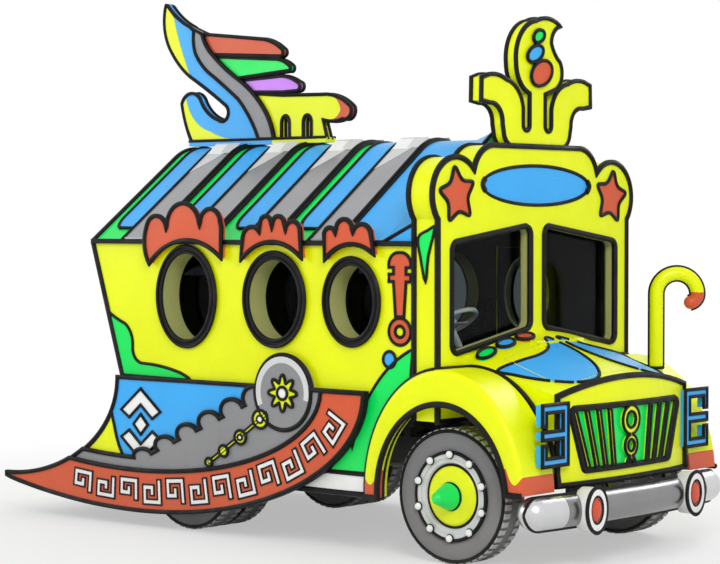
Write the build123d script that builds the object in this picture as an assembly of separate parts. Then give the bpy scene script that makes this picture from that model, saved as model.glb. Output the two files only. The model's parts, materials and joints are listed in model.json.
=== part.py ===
from build123d import *
import math
import os

# A short bonneted school bus with a pitched, striped roof, oval portholes, sweeping tail skirts
# and carnival ornaments. Millimetres. +X is forward, +Y is the bus's left, +Z is up. The origin
# is on the ground, at the middle of the overall length and width.

# Overall body
body_half = 1220.0          # half the width over the side panels
wall = 60.0                 # side, front and rear wall thickness
seat_gap = 0.3              # clearance between a piece and the piece that it sits on
sill_z = 450.0              # lower edge of the side panels
waist_z = 1220.0            # the moulding line that the tail skirts hang from
eave_z = 2340.0             # where the roof meets the side panels
floor_z = 1090.0            # top of the cabin floor
floor_thick = 50.0

# Lengthwise stations
front_axle_x = 1870.0
wheelbase = 2750.0
rear_axle_x = front_axle_x - wheelbase
cab_front_x = 1790.0        # front face of the windscreen wall
cab_depth = 220.0           # depth of the windscreen cap
tail_x = -2820.0            # tip of the tail skirts
rear_waist_x = -1550.0      # rear wall at the waist
rear_eave_x = -1910.0       # rear wall at the eaves, and the upright gable above
nose_front_x = 2650.0       # foremost point of the nose

# Roof
roof_peak_z = 3235.0        # where the two slopes would meet without the rounded ridge
ridge_radius = 420.0
roof_thick = 50.0
stripe_count = 4
stripe_pitch = 690.0
green_width = 110.0         # bare roof left between one stripe group and the next
blue_width = 240.0
rib_width = 340.0
blue_raise = 10.0
rib_raise = 26.0
blue_end_z = 2450.0         # the blue panels stop short of the eave
blue_end_radius = 90.0
collar_run = 300.0          # the wide panel flares up over this length
collar_raise = 120.0

# Portholes: each is a little smaller than the one behind it
port_z = 1900.0
port_sizes = (      # half width and half height of the flange, from the rear
    (330.0, 405.0),
    (322.0, 366.0),
    (278.0, 332.0),
)
port_x_right = (-790.0, 175.0, 970.0)
port_x_left = (-860.0, 30.0)
port_tube_in = 26.0             # the tube's wall lies this far inside the flange's edge
port_clear_in = 46.0            # and the glass this far
port_flange = 20.0
port_depth = 205.0              # how far the tube reaches inwards from the panel's outer face
port_glass = 8.0
port_glass_inset = 190.0

# Crests over the portholes: points relative to the porthole's middle. Each entry after the
# first is a corner, or an arc as (through, corner); the last arc runs back over the porthole.
crest_thick = 46.0
crest_shapes = (
    ((-396, 262), ((-450, 430), (-425, 560)), ((-305, 650), (-196, 540)), (-188, 565),
     ((-5, 750), (178, 590)), (185, 566), (193, 600), ((302, 704), (412, 600)), (424, 560),
     (418, 315), ((6, 452), (-396, 262))),
    ((-325, 305), (-305, 470), ((-215, 562), (-125, 520)), (-116, 590), ((-58, 646), (0, 590)),
     (8, 548), (16, 590), ((76, 646), (136, 590)), (150, 530), ((235, 605), (300, 540)),
     (312, 325), ((0, 445), (-325, 305))),
    ((-240, 315), (-246, 510), ((-190, 558), (-130, 512)), (-124, 545), ((-44, 622), (36, 545)),
     (43, 520), ((130, 585), (215, 530)), (246, 360), ((0, 432), (-240, 315))),
)
gutter_high = 40.0
gutter_proud = 28.0

# Entry door, on the left side
door_x = (515.0, 1105.0)
door_z = (470.0, 2290.0)
door_gap = 6.0
door_port_x = sum(door_x) / 2
door_open_deg = 85.0

# Wheels
tyre_radius = 500.0
tyre_width = 250.0
rim_radius = 325.0
hub_radius = 228.0
front_track_half = 1045.0       # middle of a front tyre
kingpin_y = 930.0
twin_y = (720.0, 1000.0)        # middles of the two rear tyres
twin_width = 240.0
axle_z = tyre_radius
stud_count = 10
stud_ring = 303.0
cone_length = 190.0

# Front fenders
arch_inner = (600.0, 680.0)     # half width and height of the wheel opening over the axle
arch_outer = (740.0, 930.0)
fender_skin = 20.0
fender_out = 70.0               # how far the fender stands out from the body side
nose_side_y = 900.0
fender_foot_rear_z = 450.0
fender_foot_front_z = 568.0

# Nose and bonnet
nose_floor_z = 600.0
nose_skin = 25.0
nose_bow = 90.0                 # how far the front face bows forward at its middle
nose_rear = (900.0, 1490.0, 1665.0)     # half width, shoulder height, crown height
nose_front = (830.0, 1215.0, 1345.0)
bonnet_x = (2010.0, 2560.0)
bonnet_half = 700.0
bonnet_gap = 5.0
bonnet_open_deg = 50.0

# Grille
grille_top_half = 720.0
grille_foot_half = 560.0
grille_z = (690.0, 1150.0)
grille_recess = 12.0
bar_half = 17.0
bar_count = 4
ring_sizes = ((1030.0, 108.0), (838.0, 80.0), (700.0, 56.0))    # height and radius of each ring
ring_bore = 0.56

# Bumper
bumper_z = 430.0
bumper_radius = 125.0
bumper_skin = 15.0
bumper_mid_x = 2680.0
bumper_end_x = 2600.0
bumper_end_y = 1130.0
bumper_lamp_y = 660.0
bumper_lamp = (125.0, 165.0)    # half width and half height
bumper_lamp_front_x = 2820.0

# Windscreen cap: centre arch and the two shoulder lobes, seen from the front
cap_half = 800.0
cap_top_z = 3078.0
cap_corner = 250.0
cap_back = 30.0
lobe_y = 1005.0
lobe_z = 2700.0
lobe_radius = 280.0
pane_y = (85.0, 1060.0)
pane_foot_z = (1690.0, 1520.0)  # at the post and at the outer edge
pane_head_z = (2480.0, 2350.0)
pane_corner = 70.0
pane_glass = 8.0
pane_depth = 92.0               # how far the window frames reach inwards from the wall's face
pane_frame = 12.0
sign_half = 690.0
sign_high = 150.0
sign_z = 2780.0

# Tail skirts
skirt_front_x = 1130.0
skirt_low_x = -1300.0
skirt_low_z = 140.0
skirt_tip_z = 330.0
skirt_thick = 30.0
band_width = 330.0
blade_width = 100.0
band_raise = 34.0
blade_raise = 20.0
flare_start_x = -300.0
flare = 140.0
flare_folds = 4
tail_curve = (1270.0, 870.0)    # half axes of the hollow curve up to the waist
disc_x = (205.0, 300.0)         # left, right
disc_z = 1185.0
disc_radius = 290.0
disc_raise = 60.0
blade_lobes = 6

# Rear hatch
hatch_half = 600.0
hatch_along = (110.0, 1060.0)   # along the leaning wall, up from the waist
hatch_gap = 6.0
hatch_open_deg = 75.0

# Chassis
rail_y = (360.0, 430.0)
rail_z = (620.0, 820.0)
rail_web = 9.0
rail_front_x = 2540.0
cross_x = (-1450.0, -500.0, 350.0, 1150.0, 2495.0)
cross_width = 90.0
bearer_x = (-1400.0, -650.0, 100.0, 850.0, 1450.0)
spring_y = 520.0
spring_half = 460.0
spring_width = 75.0
leaf_count = 5
leaf_thick = 12.0
spring_eye_z = (640.0, 690.0)      # front, rear
engine_x = (1830.0, 2440.0)
engine_half = 290.0
engine_z = (560.0, 1180.0)
tow_x = 2420.0
tow_z = 350.0
tow_radius = 22.0
bracket_thick = 16.0
jack_x = 900.0

# Seats
bench_x = (-1200.0, -480.0, 240.0)
bench_y = (300.0, body_half - port_depth - 20)
bench_depth = 430.0
cushion_thick = 120.0
cushion_top = 430.0             # above the floor
back_high = 560.0
back_thick = 90.0
driver_x = 880.0
driver_y = -560.0
driver_half = 250.0

# Hinges: barrel and pin radii, half length of the moving barrel, gap, length of each fixed one
hinge_barrel = 12.0
hinge_pin = 7.0
hinge_mid = 20.0
hinge_gap = 5.0
hinge_end = 30.0
door_hinge_z = (800.0, 2090.0)
door_hinge_y = body_half + 18
hatch_hinge_y = 420.0
bonnet_hinge_y = 250.0
bonnet_hinge_z = 1592.0

# Roof ornaments
fin_thick = 70.0
spine_thick = 92.0
feather_thick = 50.0
fin_foot_end = -945.0
comb_arch_x = (-820.0, -570.0)
feathers = (        # seen from the side: each runs on behind the spine's edge, where it is cut
    ((-1870, 4146), (-1785, 4136), (-1120, 4062), ((-960, 4022), (-868, 3968)),
     ((-850, 3925), (-890, 3902)), (-1655, 3952), (-1870, 3952), (-1870, 4146)),
    ((-1720, 3932), (-960, 3882), ((-840, 3858), (-775, 3820)), ((-764, 3791), (-800, 3774)),
     (-1375, 3736), (-1720, 3736), (-1720, 3932)),
    ((-1450, 3712), (-1345, 3710), (-930, 3732), ((-790, 3722), (-690, 3678)),
     ((-655, 3635), (-700, 3604)), (-860, 3598), (-1215, 3612), (-1450, 3612), (-1450, 3712)),
)
finial_x = 1741.0
bracket_x = 2610.0
bracket_root_y = 780.0
bracket_reach_y = 1090.0
bracket_z = (760.0, 1200.0)
crook_x = 2200.0
crook_y = 1040.0
crook_top_z = 1930.0
crook_radius = 162.0
crook_turn = 50.0        # degrees from straight outwards towards the nose
crook_bar = 54.0
finial_thick = 96.0


def slab_x(sketch, x0, x1):
    """A sketch drawn in (Y, Z), as thick as x0 to x1."""
    return extrude(Plane((x0, 0, 0), x_dir=(0, 1, 0), z_dir=(1, 0, 0)) * sketch, amount=x1 - x0)


def slab_y(sketch, y0, y1):
    """A sketch drawn in (X, Z), as thick as y0 to y1."""
    return extrude(Plane((0, y1, 0), x_dir=(1, 0, 0), z_dir=(0, -1, 0)) * sketch, amount=y1 - y0)


def slab_z(sketch, z0, z1):
    """A sketch drawn in (X, Y), as thick as z0 to z1."""
    return extrude(Plane((0, 0, z0)) * sketch, amount=z1 - z0)


def block(x0, x1, y0, y1, z0, z1):
    return Pos((x0 + x1) / 2, (y0 + y1) / 2, (z0 + z1) / 2) * Box(x1 - x0, y1 - y0, z1 - z0)


def oblong(u0, u1, v0, v1):
    return Pos((u0 + u1) / 2, (v0 + v1) / 2) * Rectangle(u1 - u0, v1 - v0)


def oval(u, v, half_u, half_v):
    return Pos(u, v) * Ellipse(half_u, half_v)


def shape_of(*points):
    return make_face(Polyline(*points, close=True))


def rounded_shape(points, radius):
    face = shape_of(*points)
    return fillet(face.vertices(), radius)


def curve_edges(points):
    """Edges from a first point on; each next entry is a corner, or an arc as (through, corner)."""
    edges = []
    here = points[0]
    for step in points[1:]:
        if isinstance(step[0], tuple):
            edges.append(ThreePointArc(here, step[0], step[1]))
            here = step[1]
        else:
            edges.append(Line(here, step))
            here = step
    return edges


def closed_face(points):
    """The face inside an outline whose last entry ends at its first point."""
    return make_face(Wire(curve_edges(points)))


def other_side(shape):
    return mirror(shape, about=Plane.XZ)


def arc_about(centre, radius, from_deg, to_deg):
    spots = []
    for turn in (from_deg, (from_deg + to_deg) / 2, to_deg):
        angle = math.radians(turn)
        spots.append((centre[0] + radius * math.cos(angle), centre[1] + radius * math.sin(angle)))
    return ThreePointArc(*spots)


def round_bar(edges, radius, x):
    """A round bar with ball ends, along a smooth line drawn in (Y, Z), standing at one X."""
    path = Wire(edges)
    start = Plane(path @ 0, z_dir=path % 0)
    bar = sweep(start * Circle(radius), path=path)
    bar += Pos(*(path @ 0)) * Sphere(radius)
    bar += Pos(*(path @ 1)) * Sphere(radius)
    return Plane((x, 0, 0), x_dir=(0, 1, 0), z_dir=(1, 0, 0)) * bar


def both_sides(shape):
    return Compound(children=list(shape.solids()) + list(other_side(shape).solids()))


def loose(*shapes):
    """Several solids that don't touch, kept together in one node."""
    return Compound(children=[s for shape in shapes for s in shape.solids()])


def hinge_fixed(place):
    """The two outer barrels of a hinge and its pin, along a plane's normal."""
    reach = hinge_mid + hinge_gap + hinge_end
    middle = hinge_mid + hinge_gap + hinge_end / 2
    ends = Pos(0, 0, middle) * Cylinder(hinge_barrel, hinge_end)
    ends += Pos(0, 0, -middle) * Cylinder(hinge_barrel, hinge_end)
    return place * (ends + Cylinder(hinge_pin, 2 * reach))


def hinge_moving(place):
    barrel = Cylinder(hinge_barrel, 2 * hinge_mid) - Cylinder(hinge_pin + 0.05, 4 * hinge_mid)
    return place * barrel


def hinge_clearance(place):
    return place * Cylinder(hinge_pin + 0.05, 4 * hinge_mid)


def hinge_spans():
    """Where the moving leaf and the two fixed leaves lie along a hinge."""
    inner = hinge_mid + hinge_gap
    outer = inner + hinge_end
    return (-hinge_mid, hinge_mid), ((inner, outer), (-outer, -inner))


# Roof

def roof_outline(raise_by):
    """The roof's cross-section, filled down to the eave, raised square to its slopes."""
    slope = math.atan2(roof_peak_z - eave_z, body_half)
    peak = roof_peak_z + raise_by / math.cos(slope)
    foot = body_half + raise_by / math.sin(slope)
    face = shape_of((-foot, eave_z), (0, peak), (foot, eave_z))
    top = face.vertices().sort_by(Axis.Y)[-1]
    face = fillet(top, ridge_radius + raise_by)
    return face & oblong(-body_half, body_half, eave_z - 1, peak + 1)


def roof_layer(x0, x1, low, high, foot_z=eave_z):
    outline = roof_outline(high) - roof_outline(low)
    return slab_x(outline & oblong(-2000, 2000, foot_z, roof_peak_z + 200), x0, x1)


def roof_shell():
    return roof_layer(rear_eave_x, cab_front_x - cab_depth - seat_gap, -roof_thick, 0)


def stripe_starts():
    return [rear_eave_x + n * stripe_pitch for n in range(stripe_count)]


def roof_blue_panels():
    """The blue panels: rounded at their lower rear corner, and one wide panel behind the cap."""
    panels = []
    for start in stripe_starts():
        x0 = start + green_width
        panel = roof_layer(x0, x0 + blue_width, seat_gap, blue_raise, blue_end_z)
        side = oblong(x0, x0 + blue_width, blue_end_z, roof_peak_z + 50)
        corner = [v for v in side.vertices() if abs(v.Y - blue_end_z) < 1 and abs(v.X - x0) < 1]
        panels.append(panel & slab_y(fillet(corner, blue_end_radius), -body_half, body_half))
    panels.append(roof_collar())
    return loose(*panels)


def roof_collar():
    """The wide blue panel behind the cap, which flares up to meet it."""
    x0 = rear_eave_x + stripe_count * stripe_pitch + seat_gap
    x2 = cab_front_x - cab_depth - seat_gap
    x1 = x2 - collar_run
    panel = roof_layer(x0, x1, seat_gap, blue_raise)
    ends = [Plane((x, 0, 0), x_dir=(0, 1, 0), z_dir=(1, 0, 0)) * roof_outline(high)
            for x, high in ((x1, blue_raise), (x2, collar_raise))]
    flare_up = loft([end.face() for end in ends], ruled=True)
    flare_up -= slab_x(roof_outline(seat_gap), x1 - 1, x2 + 1)
    return panel + flare_up


def roof_ribs():
    """Polished ribs that run over the ridge from eave to eave."""
    ribs = []
    for start in stripe_starts():
        x0 = start + green_width + blue_width + seat_gap
        low = roof_layer(x0, x0 + rib_width - seat_gap, seat_gap, blue_raise)
        high = roof_layer(x0 + rib_raise, x0 + rib_width - rib_raise, seat_gap, rib_raise)
        ribs.append(low + high)
    return loose(*ribs)


# Side panels

def rear_slope_line(z):
    """X of the rear wall's outer face at a height, above the waist."""
    share = (z - waist_z) / (eave_z - waist_z)
    return rear_waist_x + (rear_eave_x - rear_waist_x) * share


def side_outline():
    top = eave_z - seat_gap
    front = cab_front_x - cab_depth - seat_gap
    outline = shape_of(
        (rear_waist_x, sill_z), (rear_waist_x, waist_z), (rear_slope_line(top), top),
        (front, top), (front, sill_z),
    )
    outline -= oval(front_axle_x, axle_z, arch_inner[0] + 15, arch_inner[1] + 15)
    outline -= oblong(front_axle_x - arch_inner[0] - 15, front + 1, sill_z - 1, axle_z)
    outline -= Pos(rear_axle_x, axle_z) * Circle(tyre_radius + 60)
    return outline


def ports(left):
    """Middle, half width and half height of each porthole on one side."""
    return [(x, *size) for x, size in zip(port_x_left if left else port_x_right, port_sizes)]


def port_oval(port, inset=0.0):
    x, half_x, half_z = port
    return oval(x, port_z, half_x - inset, half_z - inset)


def on_side(piece, left):
    return piece if left else other_side(piece)


def side_panel(left):
    outline = side_outline()
    for port in ports(left):
        outline -= port_oval(port, port_tube_in)
    if left:
        outline -= oblong(door_x[0], door_x[1], sill_z - 1, door_z[1])
    panel = slab_y(outline, body_half - wall, body_half)
    if not left:
        return other_side(panel)
    for z in door_hinge_z:
        panel += hinge_fixed(door_hinge_place(z))
        for low, high in hinge_spans()[1]:
            panel += block(door_x[1] - 1, door_x[1] + 45, body_half - 1, body_half + 12,
                           z + low, z + high)
    return panel


def door_hinge_place(z):
    return Plane((door_x[1] - door_gap / 2, door_hinge_y, z))


def port_ring(port):
    """A deep oval tube with a flange outside the panel, which the glass sits far inside."""
    flange = port_oval(port) - port_oval(port, port_clear_in)
    tube = port_oval(port, port_tube_in + seat_gap) - port_oval(port, port_clear_in)
    return (slab_y(tube, body_half - port_depth, body_half + seat_gap)
            + slab_y(flange, body_half + seat_gap, body_half + port_flange))


def port_rings():
    return loose(*[on_side(port_ring(port), left) for left in (False, True)
                   for port in ports(left)])


def port_pane(port):
    inner = body_half - port_glass_inset
    return slab_y(port_oval(port, port_clear_in + seat_gap), inner, inner + port_glass)


def crest(x, outline):
    """A scalloped crest that arches over a porthole and stands up past the eave."""
    plate = slab_y(Pos(x, port_z) * closed_face(outline), body_half + seat_gap,
                   body_half + crest_thick)
    plate -= block(-3000, 3000, body_half - 1, body_half + gutter_proud + seat_gap,
                   eave_z - gutter_high / 2 - seat_gap, eave_z + gutter_high / 2 + seat_gap)
    return plate


def port_crests():
    pieces = []
    for left in (False, True):
        for port, outline in zip(ports(left), crest_shapes):
            pieces.append(on_side(crest(port[0], outline), left))
    return loose(*pieces)


def gutters():
    """The drip rail along each eave."""
    x1 = cab_front_x - cab_depth - seat_gap
    rail = block(rear_eave_x, x1, body_half + seat_gap, body_half + gutter_proud,
                 eave_z - gutter_high / 2, eave_z + gutter_high / 2)
    return both_sides(rail)


# Rear wall and hatch

def rear_strip(thick_out, thick_in):
    """The rear wall in side view: leaning above the waist, upright above the eave."""
    lean = math.atan2(rear_waist_x - rear_eave_x, eave_z - waist_z)
    inset = thick_in / math.cos(lean)
    outset = thick_out / math.cos(lean)
    return shape_of(
        (rear_waist_x - outset, waist_z), (rear_waist_x + inset, waist_z),
        (rear_eave_x + inset, eave_z), (rear_eave_x + thick_in, eave_z),
        (rear_eave_x + thick_in, roof_peak_z), (rear_eave_x - thick_out, roof_peak_z),
        (rear_eave_x - outset, eave_z),
    )


def hatch_frame():
    """A plane on the leaning wall's outer face: local x runs to the left, local y up the wall."""
    up = Vector(rear_eave_x - rear_waist_x, 0, eave_z - waist_z).normalized()
    across = Vector(0, 1, 0)
    return Plane((rear_waist_x, 0, waist_z), x_dir=across, z_dir=across.cross(up) * 1)


def hatch_slab(grow, depth0, depth1):
    """The hatch's outline on the leaning wall, grown by some mm, from depth0 to depth1 inwards."""
    low, high = hatch_along
    frame = hatch_frame()
    inward = 1 if frame.z_dir.X > 0 else -1
    face = oblong(-hatch_half - grow, hatch_half + grow, low - grow, high + grow)
    face = fillet(face.vertices(), 60 + grow)
    start = frame.offset(inward * depth0)
    return extrude(start * face, amount=inward * (depth1 - depth0))


def hatch_window(shrink, depth0, depth1):
    low, high = hatch_along
    frame = hatch_frame()
    inward = 1 if frame.z_dir.X > 0 else -1
    face = oval(0, (low + high) / 2 + 90, 400 - shrink, 270 - shrink)
    start = frame.offset(inward * depth0)
    return extrude(start * face, amount=inward * (depth1 - depth0))


def rear_wall():
    inside = roof_outline(-roof_thick - seat_gap) & oblong(-body_half, body_half, eave_z, 4000)
    inside += oblong(-body_half + wall + seat_gap, body_half - wall - seat_gap,
                     waist_z, eave_z - seat_gap)
    inside += oblong(-body_half + 2 * wall, body_half - 2 * wall, waist_z, eave_z + 1)
    strip = slab_y(rear_strip(0, wall), -body_half, body_half)
    strip &= slab_x(inside, rear_eave_x - 200, rear_waist_x + 200)
    foot = block(rear_waist_x, rear_waist_x + wall, -body_half + wall + seat_gap,
                 body_half - wall - seat_gap, floor_z - floor_thick, waist_z)
    wall_piece = strip + foot - hatch_slab(hatch_gap, -50, wall + 80)
    for y in (-hatch_hinge_y, hatch_hinge_y):
        wall_piece += hinge_fixed(hatch_hinge_place(y))
        for low, high in hinge_spans()[1]:
            wall_piece += hatch_leaf(y + low, y + high, True)
    return wall_piece


def rear_hatch():
    panel = hatch_slab(0, 0, 45) - hatch_window(0, -10, 80)
    handle_y = hatch_along[0] + 60
    frame = hatch_frame()
    inward = 1 if frame.z_dir.X > 0 else -1
    grip = extrude(frame.offset(-inward * 28) * oblong(-120, 120, handle_y, handle_y + 30),
                   amount=inward * 28)
    panel += grip
    low, high = hinge_spans()[0]
    for y in (-hatch_hinge_y, hatch_hinge_y):
        panel += hatch_leaf(y + low, y + high, False)
        panel += hinge_moving(hatch_hinge_place(y))
        panel -= hinge_clearance(hatch_hinge_place(y))
    return panel


def rear_hatch_glass():
    return hatch_window(seat_gap, 18, 26)


def hatch_hinge_place(y):
    """On the hinge line above the hatch, just outside the wall."""
    frame = hatch_frame()
    centre = frame.from_local_coords(Vector(y, hatch_along[1] + hatch_gap / 2, -18))
    return Plane(centre, x_dir=(1, 0, 0), z_dir=(0, 1, 0))


def hatch_leaf(y0, y1, above):
    """One hinge leaf, flat on the wall above the hinge line or on the hatch below it."""
    edge = hatch_along[1] + (hatch_gap - 1 if above else 1)
    face = oblong(y0, y1, edge, edge + 45) if above else oblong(y0, y1, edge - 45, edge)
    return extrude(hatch_frame().offset(-12) * face, amount=13)


# Floor, steps and cab

def cabin_floor():
    inner = body_half - wall - seat_gap
    x0 = rear_waist_x + wall + seat_gap
    x1 = cab_front_x - wall - seat_gap
    plate = block(x0, x1, -inner, inner, floor_z - floor_thick, floor_z)
    plate -= block(cab_front_x - cab_depth - 1, x1 + 1, body_half - 100, inner + 1,
                   floor_z - 200, floor_z + 1)
    plate -= block(cab_front_x - cab_depth - 1, x1 + 1, -inner - 1, -body_half + 100,
                   floor_z - 200, floor_z + 1)
    well_y = body_half - wall - 480
    plate -= block(door_x[0] + 5, door_x[1] - 5, well_y, inner + 1, floor_z - 200, floor_z + 1)
    steps = step_well(well_y)
    return plate + steps


def step_well(well_y):
    """Two treads and their risers between the road and the floor, behind the entry door."""
    inner = body_half - wall - 12
    x0, x1 = door_x[0] + 5, door_x[1] - 5
    tread = 14.0
    rise = (floor_z - door_z[0] - 20) / 3
    first = door_z[0] + 20
    mid_y = (well_y + inner) / 2
    pieces = block(x0, x1, mid_y, inner, first, first + tread)
    pieces += block(x0, x1, mid_y, mid_y + tread, first, first + rise)
    pieces += block(x0, x1, mid_y - 240, mid_y + tread, first + rise, first + rise + tread)
    pieces += block(x0, x1, well_y, well_y + tread, first + rise, floor_z)
    for x in (x0, x1 - tread):
        cheek = shape_of((well_y, floor_z), (well_y, first + rise), (mid_y, first + rise),
                         (mid_y, first), (inner, first), (inner, floor_z))
        pieces += slab_x(cheek, x, x + tread)
    return pieces


def cap_outline(shrink=0.0):
    """The windscreen wall from the front: posts, shoulder lobes and the centre arch."""
    half = body_half - shrink
    face = oblong(-half, half, floor_z - floor_thick, lobe_z)
    centre = oblong(-cap_half + shrink, cap_half - shrink, lobe_z - 200, cap_top_z - shrink)
    corners = centre.vertices().sort_by(Axis.Y)[-2:]
    face += fillet(corners, cap_corner)
    for side in (-1, 1):
        face += Pos(side * lobe_y, lobe_z) * Circle(lobe_radius - shrink)
    return face


def pane_outline(shrink=0.0):
    near, far = pane_y
    points = (
        (near + shrink, pane_foot_z[0] + shrink), (far - shrink, pane_foot_z[1] + shrink),
        (far - shrink, pane_head_z[1] - shrink), (near + shrink, pane_head_z[0] - shrink),
    )
    return rounded_shape(points, pane_corner - shrink)


def cab_front():
    """The windscreen wall with its side returns, hollow behind."""
    back = cab_front_x - cab_depth
    shell = slab_x(cap_outline(), back, cab_front_x)
    hollow = slab_x(cap_outline(wall) - oblong(-2000, 2000, 0, floor_z), back - 1,
                    cab_front_x - wall)
    shell -= hollow
    shell -= block(back - 1, cab_front_x - wall, -body_half + 100, body_half - 100,
                   floor_z - 300, floor_z + 1)
    opening = pane_outline()
    frame = opening - pane_outline(pane_frame)
    for panes in (opening, mirror(opening, about=Plane.YZ)):
        shell -= slab_x(panes, cab_front_x - wall - 1, cab_front_x + 1)
    for jamb in (frame, mirror(frame, about=Plane.YZ)):
        shell += slab_x(jamb, cab_front_x - pane_depth, cab_front_x - wall + 5)
    shell -= slab_x(oval(0, sign_z, sign_half, sign_high), cab_front_x - 16, cab_front_x + 1)
    above_roof = cap_outline() - roof_outline(-roof_thick / 2) - oblong(-2000, 2000, 0, eave_z)
    return shell + slab_x(above_roof, back, back + cap_back)


def windscreen_panes():
    pane = pane_outline(pane_frame + seat_gap)
    x0 = cab_front_x - pane_depth + 4
    return [slab_x(p, x0, x0 + pane_glass) for p in (pane, mirror(pane, about=Plane.YZ))]


def window_glass():
    panes = [on_side(port_pane(port), left) for left in (False, True) for port in ports(left)]
    return loose(*windscreen_panes(), *panes)


def sign_panel():
    """The blank destination panel set into the cap."""
    return slab_x(oval(0, sign_z, sign_half - seat_gap, sign_high - seat_gap),
                  cab_front_x - 16 + seat_gap, cab_front_x - 4)


# Nose, bonnet and grille

def nose_section(half, shoulder, crown, inset=0.0):
    half, shoulder, crown = half - inset, shoulder - inset, crown - inset
    low = nose_floor_z + (0 if inset == 0 else -1)
    edges = (Polyline((-half, shoulder), (-half, low), (half, low), (half, shoulder))
             + ThreePointArc((half, shoulder), (0, crown), (-half, shoulder)))
    return make_face(edges)


def nose_plan(x0, front, half):
    """The nose from above, with its bowed front face."""
    edges = (Polyline((front - nose_bow, -half), (x0, -half), (x0, half), (front - nose_bow, half))
             + ThreePointArc((front - nose_bow, half), (front, 0), (front - nose_bow, -half)))
    return make_face(edges)


def nose_form(inset=0.0):
    x0, x1 = cab_front_x + seat_gap, nose_front_x + 40
    if inset:
        x0 -= 1
    rear = Plane((x0, 0, 0), x_dir=(0, 1, 0), z_dir=(1, 0, 0)) * nose_section(*nose_rear, inset)
    front = Plane((x1, 0, 0), x_dir=(0, 1, 0), z_dir=(1, 0, 0)) * nose_section(*nose_front, inset)
    form = loft([rear.face(), front.face()], ruled=True)
    return form & slab_z(nose_plan(x0 - 5, nose_front_x - inset, 1000), 0, 2500)


def bonnet_zone(grow):
    """The part of the nose's top that lifts, seen from above."""
    face = oblong(bonnet_x[0] - grow, bonnet_x[1] + grow, -bonnet_half - grow, bonnet_half + grow)
    front = [v for v in face.vertices() if v.X > bonnet_x[0] + 10]
    face = fillet(front, 110 + grow)
    return slab_z(face, 1100, 1900)


def grille_outline(shrink=0.0):
    foot, head = grille_z
    points = ((-grille_foot_half + shrink, foot + shrink), (grille_foot_half - shrink, foot + shrink),
              (grille_top_half - shrink, head - shrink), (-grille_top_half + shrink, head - shrink))
    return rounded_shape(points, 45)


def nose_shell():
    outer = nose_form()
    shell = outer - nose_form(nose_skin)
    shell -= bonnet_zone(bonnet_gap)
    shell -= slab_x(grille_outline(), nose_front_x - 260, nose_front_x + 10)
    well = oval(front_axle_x, axle_z, arch_inner[0] + 10, arch_inner[1] - 20)
    for side in (-1, 1):
        y0, y1 = sorted((side * 600, side * 1000))
        shell -= slab_y(well, y0, y1)
    line = bonnet_hinge_x()
    leaf = shape_of((line - 52, 1570), (line, 1570), (line, bonnet_hinge_z + 11), (line - 52, 1608))
    for y in (-bonnet_hinge_y, bonnet_hinge_y):
        shell += hinge_fixed(bonnet_hinge_place(y))
        for low, high in hinge_spans()[1]:
            shell += slab_y(leaf, y + low, y + high) - bonnet_zone(bonnet_gap)
    return shell


def bonnet_hinge_x():
    return bonnet_x[0] - bonnet_gap - 1


def bonnet_hinge_place(y):
    return Plane((bonnet_hinge_x(), y, bonnet_hinge_z), x_dir=(1, 0, 0), z_dir=(0, 1, 0))


def bonnet():
    """The lifting lid, with a hinge leaf near each rear corner of its crown."""
    lid = (nose_form() - nose_form(nose_skin)) & bonnet_zone(0)
    line = bonnet_hinge_x()
    leaf = shape_of((line, bonnet_hinge_z - 6), (line, bonnet_hinge_z + 11), (line + 58, 1571),
                    (line + 58, 1545), (line + 8, 1565))
    low, high = hinge_spans()[0]
    for y in (-bonnet_hinge_y, bonnet_hinge_y):
        lid += slab_y(leaf, y + low, y + high)
        lid += hinge_moving(bonnet_hinge_place(y))
        lid -= hinge_clearance(bonnet_hinge_place(y))
    return lid


def bowed_front(sketch, proud0, proud1):
    """A sketch in (Y, Z), cut from a sheet that follows the nose's bowed front face."""
    sheet = (slab_z(nose_plan(1500, nose_front_x + proud1, 1000), 0, 2500)
             - slab_z(nose_plan(1400, nose_front_x + proud0, 1001), -1, 2501))
    return sheet & slab_x(sketch, nose_front_x - 300, nose_front_x + 300)


def grille_panel():
    return bowed_front(grille_outline(seat_gap), -nose_skin, -grille_recess)


def grille_bars():
    """Upright bars fanned across the grille, and a totem of three rings down the middle."""
    foot, head = grille_z
    pattern = None
    for side in (-1, 1):
        for n in range(1, bar_count + 1):
            u_top = side * (140 + n * (grille_top_half - 190) / bar_count)
            u_foot = side * (120 + n * (grille_foot_half - 160) / bar_count)
            bar = shape_of((u_foot - bar_half, foot + 20), (u_foot + bar_half, foot + 20),
                           (u_top + bar_half, head - 20), (u_top - bar_half, head - 20))
            pattern = bar if pattern is None else pattern + bar
    stem = oblong(-bar_half, bar_half, foot + 10, head - 10)
    pattern += stem
    for z, radius in ring_sizes:
        pattern += Pos(0, z) * Circle(radius)
    for z, radius in ring_sizes:
        pattern -= Pos(0, z) * Circle(radius * ring_bore)
    pattern &= grille_outline(8)
    return bowed_front(pattern, -grille_recess + seat_gap, grille_recess)


# Fenders and bumper

def arch_face(outer, grow=0.0):
    a, b = outer
    upper = oval(front_axle_x, axle_z, a + grow, b + grow) & oblong(0, 4000, axle_z, 4000)
    legs = oblong(front_axle_x - a - grow, front_axle_x + a + grow, 0, axle_z)
    return upper + legs


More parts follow.
